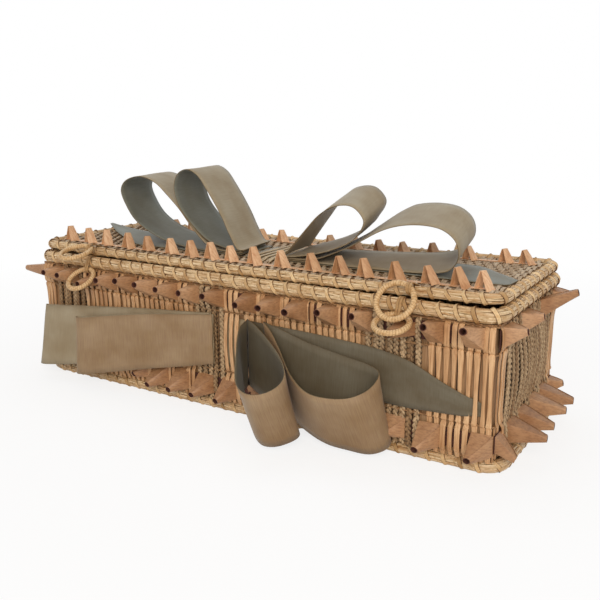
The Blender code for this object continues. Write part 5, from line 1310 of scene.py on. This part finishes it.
def ribbon_sheet(name, front, back, body, slot_nodes, gather=0.0):
    """A ribbon between two edges, with lengthwise ribs on its own UV map and pale woven edges."""
    columns, rows = RIBBON_COLUMNS, len(front)
    chance = random.Random(len(name) * 31 + rows)
    phases = [chance.uniform(0, 2 * math.pi) for _ in range(3)]
    travelled, points, way = 0.0, [], []
    for i in range(rows):
        along = (front[min(i + 1, rows - 1)] - front[max(i - 1, 0)]).normalized()
        normal = along.cross(back[i] - front[i]).normalized()
        if i:
            travelled += ((front[i] + back[i]) / 2 - (front[i - 1] + back[i - 1]) / 2).length
        for j in range(columns):
            u = j / (columns - 1)
            ripple = RIPPLE * math.sin(travelled * RIPPLE_WAVE + phases[0] + 3.0 * u) * math.sin(math.pi * u)
            near_knot = max(0.0, 1 - min(i, rows - 1 - i) / GATHER_ROWS) if gather else 0.0
            folds = gather * near_knot * MM * math.sin(4 * math.pi * u + phases[1])
            points.append(front[i].lerp(back[i], u) + normal * (ripple + folds))
            way.append((u * RIBBON_WIDTH, travelled))
    faces = [(i * columns + j, i * columns + j + 1, (i + 1) * columns + j + 1, (i + 1) * columns + j)
             for i in range(rows - 1) for j in range(columns - 1)]
    mesh = bpy.data.meshes.new(name)
    mesh.from_pydata(points, [], faces)
    layer = mesh.uv_layers.new(name="UVMap")
    for loop in mesh.loops:
        layer.data[loop.index].uv = way[loop.vertex_index]
    for finish in (*ribbon_sides(slot_nodes[0]), "ribbon_edge"):
        mesh.materials.append(finish_named(finish))
    piece = bpy.data.objects.new(name, mesh)
    bpy.context.collection.objects.link(piece)
    thick = piece.modifiers.new("Ribbon thickness", "SOLIDIFY")
    thick.thickness = bpy.context.scene.splint_box_sizes.ribbon_thickness
    thick.offset = 0.0
    thick.material_offset, thick.material_offset_rim = 1, 2
    settle(piece, body, slot_nodes, 60.0)
    return piece


class BOX_OT_lid_bow(bpy.types.Operator):
    """The lid's ribbon bow: four loops, two tails, the band and the splints that hold it"""
    bl_idname = "splint_box.lid_bow"
    bl_label = "Lid bow"

    def execute(self, context):
        for name, (side, reach, rise, layers, wide, outline) in LOOPS.items():
            path = []
            for i, (along, up) in enumerate(outline):
                layer = layers[0] if i < len(outline) / 2 else layers[1]
                height = RIBBON_BASE + max(up * rise * MM, layer * RIBBON_STACK)
                path.append(Vector((side * along * reach * MM, -LID_RIBBON_FRONT, height)))
            front = smooth(path, 6)
            across, deep, lift = [share * RIBBON_WIDTH for share in wide]
            back = []
            for i, point in enumerate(front):
                t = i / (len(front) - 1)
                back.append(point + Vector((across, deep, lift * min(1.0, t / LIFT_SHARE, (1 - t) / LIFT_SHARE))))
            ribbon_sheet(name + "_ribbon", front, back, "lid", (name,))
        for name, (side, reach, lift, rows) in TAILS.items():
            edges = [[], []]
            for along, *pair in rows:
                x = side * along * reach * MM
                height = lid_height(x) - LID_RIM_HEIGHT + RIBBON_BASE + lift * MM * along ** 6
                for edge, across in zip(edges, pair):
                    edge.append(Vector((x, across * RIBBON_WIDTH - LID_RIBBON_FRONT, height)))
            ribbon_sheet(name + "_ribbon", smooth(edges[0], 4), smooth(edges[1], 4), "lid", (name,))
        ends = [Vector((x * MM, -LID_RIBBON_FRONT, RIBBON_BASE)) for x in (-11.5, -5.0, 0.0, 5.0, 11.5)]
        ribbon_sheet("lid_band_ribbon", ends, [p + Vector((0, RIBBON_WIDTH, 0)) for p in ends], "lid",
                     ("lid_bow_band",))
        low = RIBBON_BASE + LID_KNOT_RISE
        form = Skin()
        form.loft([flat_ring(Vector((0, y * MM, up * MM)), ACROSS, UPWARD, half * MM, 0.36 * MM)
                   for y, up, half in LID_KNOT])
        rows = [(0, (LID_KNOT_MIDDLE + (k - 1.5) * LID_KNOT_PITCH, 0.0, low), (0, 0, 0.02 * (k - 1.5)), UNSCALED,
                 0.2 + 0.2 * k) for k in range(4)]
        settle(set_out("lid_knot_narrow_splints", [form], rows, "knot_ash"), "lid",
               ("lid_knot_splints",))
        return {"FINISHED"}


class BOX_OT_front_bow(bpy.types.Operator):
    """The front ribbon bow: two flattened loops, two open ones, a tail and the band"""
    bl_idname = "splint_box.front_bow"
    bl_label = "Front bow"

    def execute(self, context):
        wall = WALLS[0]
        for name, (reach, spaces, rows) in FLAT_LOOPS.items():
            edges = []
            for edge in (0, 1):
                there, again = [], []
                for row in rows:
                    out = RIBBON_OUT + row[1 + edge] * FLAT_STANDOFF
                    if spaces:
                        below = row[0] * reach / FLAT_LOOPS["front_bow_long_loop"][0]
                        out += RIBBON_STACK + FLAT_OPENING * below
                        out += (spaces[0] + (spaces[1] - spaces[0]) * row[0]) * MM
                    up = row[3 + edge] * FLAT_TOP
                    there.append(wall.at(-row[0] * reach * MM, out, up))
                    again.append(wall.at(-row[0] * reach * MM, out + RIBBON_STACK + FLAT_OPENING * row[0], up))
                turn = (there[-1] + again[-1]) / 2
                turn.x = -reach * MM
                edges.append(smooth(there + [turn] + again[::-1], 5))
            ribbon_sheet(name + "_ribbon", edges[0], edges[1], "box", (name,),
                         0.3)
        for name, (reach, full_lean, outline) in OPEN_LOOPS.items():
            tops, feet = [], []
            for along, out, up, lean, flare in outline:
                inward = min(lean * full_lean, out * reach) * MM
                drop = math.sqrt(RIBBON_WIDTH ** 2 - inward ** 2 - (flare * MM) ** 2)
                x, far, height = along * reach * MM, RIBBON_OUT + out * reach * MM, up * OPEN_TOP
                tops.append(wall.at(x, far, height))
                feet.append(wall.at(x + flare * MM, far - inward, max(height - drop, 0.5 * MM)))
            ribbon_sheet(name + "_ribbon", smooth(tops, 5), smooth(feet, 5), "box", (name,),
                         0.25)
        edges = [smooth([wall.at(share * FRONT_TAIL_REACH, out * MM, up * MM) for share, up, out in rows], 4)
                 for rows in (FRONT_TAIL_TOP, FRONT_TAIL_FOOT)]
        ribbon_sheet("front_bow_tail_ribbon", edges[0], edges[1], "box", ("front_bow_tail",))
        edges = [[wall.at(x * MM, FRONT_BAND_OUT, up) for x in (-5.4, -2.0, 2.0, 6.0, 9.5)]
                 for up in (FRONT_BAND_TOP, FRONT_BAND_FOOT)]
        ribbon_sheet("front_band_ribbon", edges[0], edges[1], "box", ("front_bow_band",))
        return {"FINISHED"}


class BOX_OT_front_knot(bpy.types.Operator):
    """The wall splints that bow out over the front ribbon"""
    bl_idname = "splint_box.front_knot"
    bl_label = "Front knot splints"

    def execute(self, context):
        wall = WALLS[0]
        forms = [upright_skin((UPRIGHT_FOOT_OVER, KNOT_MIDDLE, UPRIGHT_HEAD_OVER))]
        rows = []
        for k, place in enumerate(KNOT_PLACES):
            rows.append((0, wall.at(place), (0.0, 0.0, 0.03 * (k - 1)), (0.95, 1.0, 1.0), 0.7 + 0.1 * k))
        settle(set_out("front_knot_long_splints", forms, rows, "upright_ash"), "box",
               ("front_knot_splints",))
        return {"FINISHED"}


def seen_rays(tree):
    """1 for camera, glossy and transmission rays."""
    path = add_node(tree, "ShaderNodeLightPath").outputs
    return maths(tree, "MAXIMUM", maths(tree, "MAXIMUM", path["Is Camera Ray"], path["Is Glossy Ray"]),
                 path["Is Transmission Ray"])


class BOX_OT_stage(bpy.types.Operator):
    """Pale floor, soft studio light and the photograph's camera"""
    bl_idname = "splint_box.stage"
    bl_label = "Stage"

    def execute(self, context):
        colours = context.scene.splint_box_colours
        floor_mesh = bpy.data.meshes.new("studio_floor")
        floor_mesh.from_pydata([(x * FLOOR_REACH, y * FLOOR_REACH, 0) for x, y in ((-1, -1), (1, -1), (1, 1), (-1, 1))],
                               [], [(0, 1, 2, 3)])
        floor = bpy.data.objects.new("studio_floor", floor_mesh)
        context.collection.objects.link(floor)
        floor.location.z = -FLOOR_DROP
        # White to the camera, with a faint shadow left in it; plain paper to all other rays
        finish, tree = new_finish("studio_paper")
        paper = add_node(tree, "ShaderNodeBsdfDiffuse", {"Color": (*colours.floor, 1.0), "Roughness": 0.5})
        white = add_node(tree, "ShaderNodeEmission", {"Color": (1.0, 1.0, 1.0, 1.0), "Strength": 1.0})
        place = add_node(tree, "ShaderNodeTexCoord").outputs["Object"]
        distance = add_node(tree, "ShaderNodeVectorMath", {0: place}, operation="LENGTH").outputs["Value"]
        whiter = add_node(tree, "ShaderNodeMapRange", {
            "Value": distance, "From Min": FLOOR_WHITENS[0], "From Max": FLOOR_WHITENS[1],
            "To Min": FLOOR_WHITE_NEAR, "To Max": 1.0}).outputs["Result"]
        share = maths(tree, "MULTIPLY", seen_rays(tree), whiter)
        mix = add_node(tree, "ShaderNodeMixShader", {0: share, 1: paper.outputs[0], 2: white.outputs[0]})
        add_node(tree, "ShaderNodeOutputMaterial", {"Surface": mix.outputs[0]})
        floor_mesh.materials.append(finish)

        world = bpy.data.worlds.new("studio_sky")
        context.scene.world = world
        world.use_nodes = True
        tree = world.node_tree
        tree.nodes.clear()
        light = add_node(tree, "ShaderNodeBackground", {"Color": (*linear("#e6ecf4"), 1.0), "Strength": 0.5})
        white = add_node(tree, "ShaderNodeBackground", {"Color": (1.0, 1.0, 1.0, 1.0), "Strength": 1.0})
        mix = add_node(tree, "ShaderNodeMixShader", {0: seen_rays(tree), 1: light.outputs[0],
                                                     2: white.outputs[0]})
        add_node(tree, "ShaderNodeOutputWorld", {"Surface": mix.outputs[0]})

        for name, place, size, power, colour in (
                ("warm_key", (0.75, -1.25, 0.75), 0.7, 13.0, "#fff0de"),
                ("cool_top", (-0.35, 0.35, 1.4), 1.0, 6.0, "#dfe8f4")):
            lamp = bpy.data.lights.new(name, "AREA")
            lamp.size, lamp.energy, lamp.color = size, power, linear(colour)
            holder = bpy.data.objects.new(name, lamp)
            holder.location = place
            holder.rotation_euler = (Vector((0, 0, 0.05)) - Vector(place)).to_track_quat("-Z", "Y").to_euler()
            context.collection.objects.link(holder)

        lens = bpy.data.cameras.new("photo_camera")
        lens.sensor_width = 36.0
        lens.lens = FOCAL_PIXELS / PHOTO_PIXELS * lens.sensor_width
        camera = bpy.data.objects.new("photo_camera", lens)
        turn = (Matrix.Rotation(CAMERA_YAW, 4, "Z") @ Matrix.Rotation(math.pi / 2 - CAMERA_PITCH, 4, "X")
                @ Matrix.Rotation(CAMERA_ROLL, 4, "Z"))
        camera.matrix_world = Matrix.Translation(CAMERA_PLACE) @ turn
        context.collection.objects.link(camera)
        context.scene.camera = camera
        context.scene.view_settings.view_transform = "Standard"
        return {"FINISHED"}


def length_setting(name, description, default, low, high):
    return bpy.props.FloatProperty(name=name, description=description, default=default * MM, min=low * MM,
                                   max=high * MM, unit="LENGTH", precision=5)


def colour_setting(name, description, code):
    return bpy.props.FloatVectorProperty(name=name, description=description, subtype="COLOR", size=3,
                                         min=0.0, max=1.0, default=linear(code))


class SplintBoxSizes(bpy.types.PropertyGroup):
    splint_pitch: length_setting("Splint pitch", "From one upright splint to the next", 3.89, 2.0, 8.0)
    braid_pitch: length_setting("Braid pitch", "From one grass braid to the next", 3.9, 3.0, 9.0)
    lid_splint_pitch: length_setting("Lid splint pitch", "From one narrow lid splint to the next", 2.7, 2.0, 6.0)
    lid_weaver_pitch: length_setting("Lid weaver pitch", "From one thin weaver across the lid to the next",
                                     5.2, 3.0, 12.0)
    lash_spacing: length_setting("Lash spacing", "From one lashing turn round a rim to the next", 8.6, 4.0, 20.0)
    ring_wrap_pitch: length_setting("Ring wrap pitch", "From one turn of a ring's wrapping to the next",
                                    1.35, 0.8, 4.0)
    ribbon_thickness: length_setting("Ribbon thickness", "Thickness of the ribbon", 0.35, 0.1, 0.8)
    rim_strands: bpy.props.IntProperty(
        name="Rim strands", description="Grass strands that show round a rim", default=24, min=5, max=40)
    seed: bpy.props.IntProperty(name="Seed", description="Seed of all that varies by chance", default=7, min=0)


class SplintBoxColours(bpy.types.PropertyGroup):
    ash: colour_setting("Ash splint", "Pale grain of the upright splints", "#e6bf93")
    points: colour_setting("Folded points", "Pale grain of the folded points", "#cba27c")
    grass: colour_setting("Rim grass", "Pale streaks of the rims", "#f6e4c6")
    braid: colour_setting("Braid grass", "Pale streaks of the braids", "#ccb18b")
    ribbon: colour_setting("Ribbon", "Ground colour of the ribbon", "#a3967d")
    # The next colour is a browner copy of the ribbon's: painted warm light on the sides that face the key lamp
    warm_lit_ribbon: colour_setting("Worn ribbon", "Ground colour of the ribbon's faded outer side", "#9b8167")
    # The next colour is a greyer, darker copy of the ribbon's: painted shade, as where only the cool top light reaches
    cool_shade_ribbon: colour_setting("Inner ribbon", "Ground colour of the ribbon's inner side", "#7e8076")
    floor: colour_setting("Floor", "Colour of the studio floor", "#fbfaf8")


PIECE_OPERATORS = (BOX_OT_floor_and_liners, BOX_OT_uprights, BOX_OT_braids, BOX_OT_twining, BOX_OT_wall_points,
                   BOX_OT_rims, BOX_OT_rings, BOX_OT_ring_ties, BOX_OT_lid_weave, BOX_OT_lid_points,
                   BOX_OT_front_knot, BOX_OT_front_bow, BOX_OT_lid_bow, BOX_OT_stage)


class VIEW3D_PT_splint_box(bpy.types.Panel):
    bl_label = "Splint box"
    bl_space_type = "VIEW_3D"
    bl_region_type = "UI"
    bl_category = "Splint box"

    def draw(self, context):
        for group in (context.scene.splint_box_sizes, context.scene.splint_box_colours):
            for name in group.__annotations__:
                self.layout.prop(group, name)
        for operator in PIECE_OPERATORS:
            self.layout.operator(operator.bl_idname)


CLASSES = (SplintBoxSizes, SplintBoxColours, *PIECE_OPERATORS, VIEW3D_PT_splint_box)


def register():
    for item in CLASSES:
        bpy.utils.register_class(item)
    bpy.types.Scene.splint_box_sizes = bpy.props.PointerProperty(type=SplintBoxSizes)
    bpy.types.Scene.splint_box_colours = bpy.props.PointerProperty(type=SplintBoxColours)


def unregister():
    del bpy.types.Scene.splint_box_colours
    del bpy.types.Scene.splint_box_sizes
    for item in reversed(CLASSES):
        bpy.utils.unregister_class(item)


def main():
    register()
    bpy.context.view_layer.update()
    for operator in PIECE_OPERATORS:
        group, name = operator.bl_idname.split(".")
        getattr(getattr(bpy.ops, group), name)()


if __name__ == "__main__":
    main()
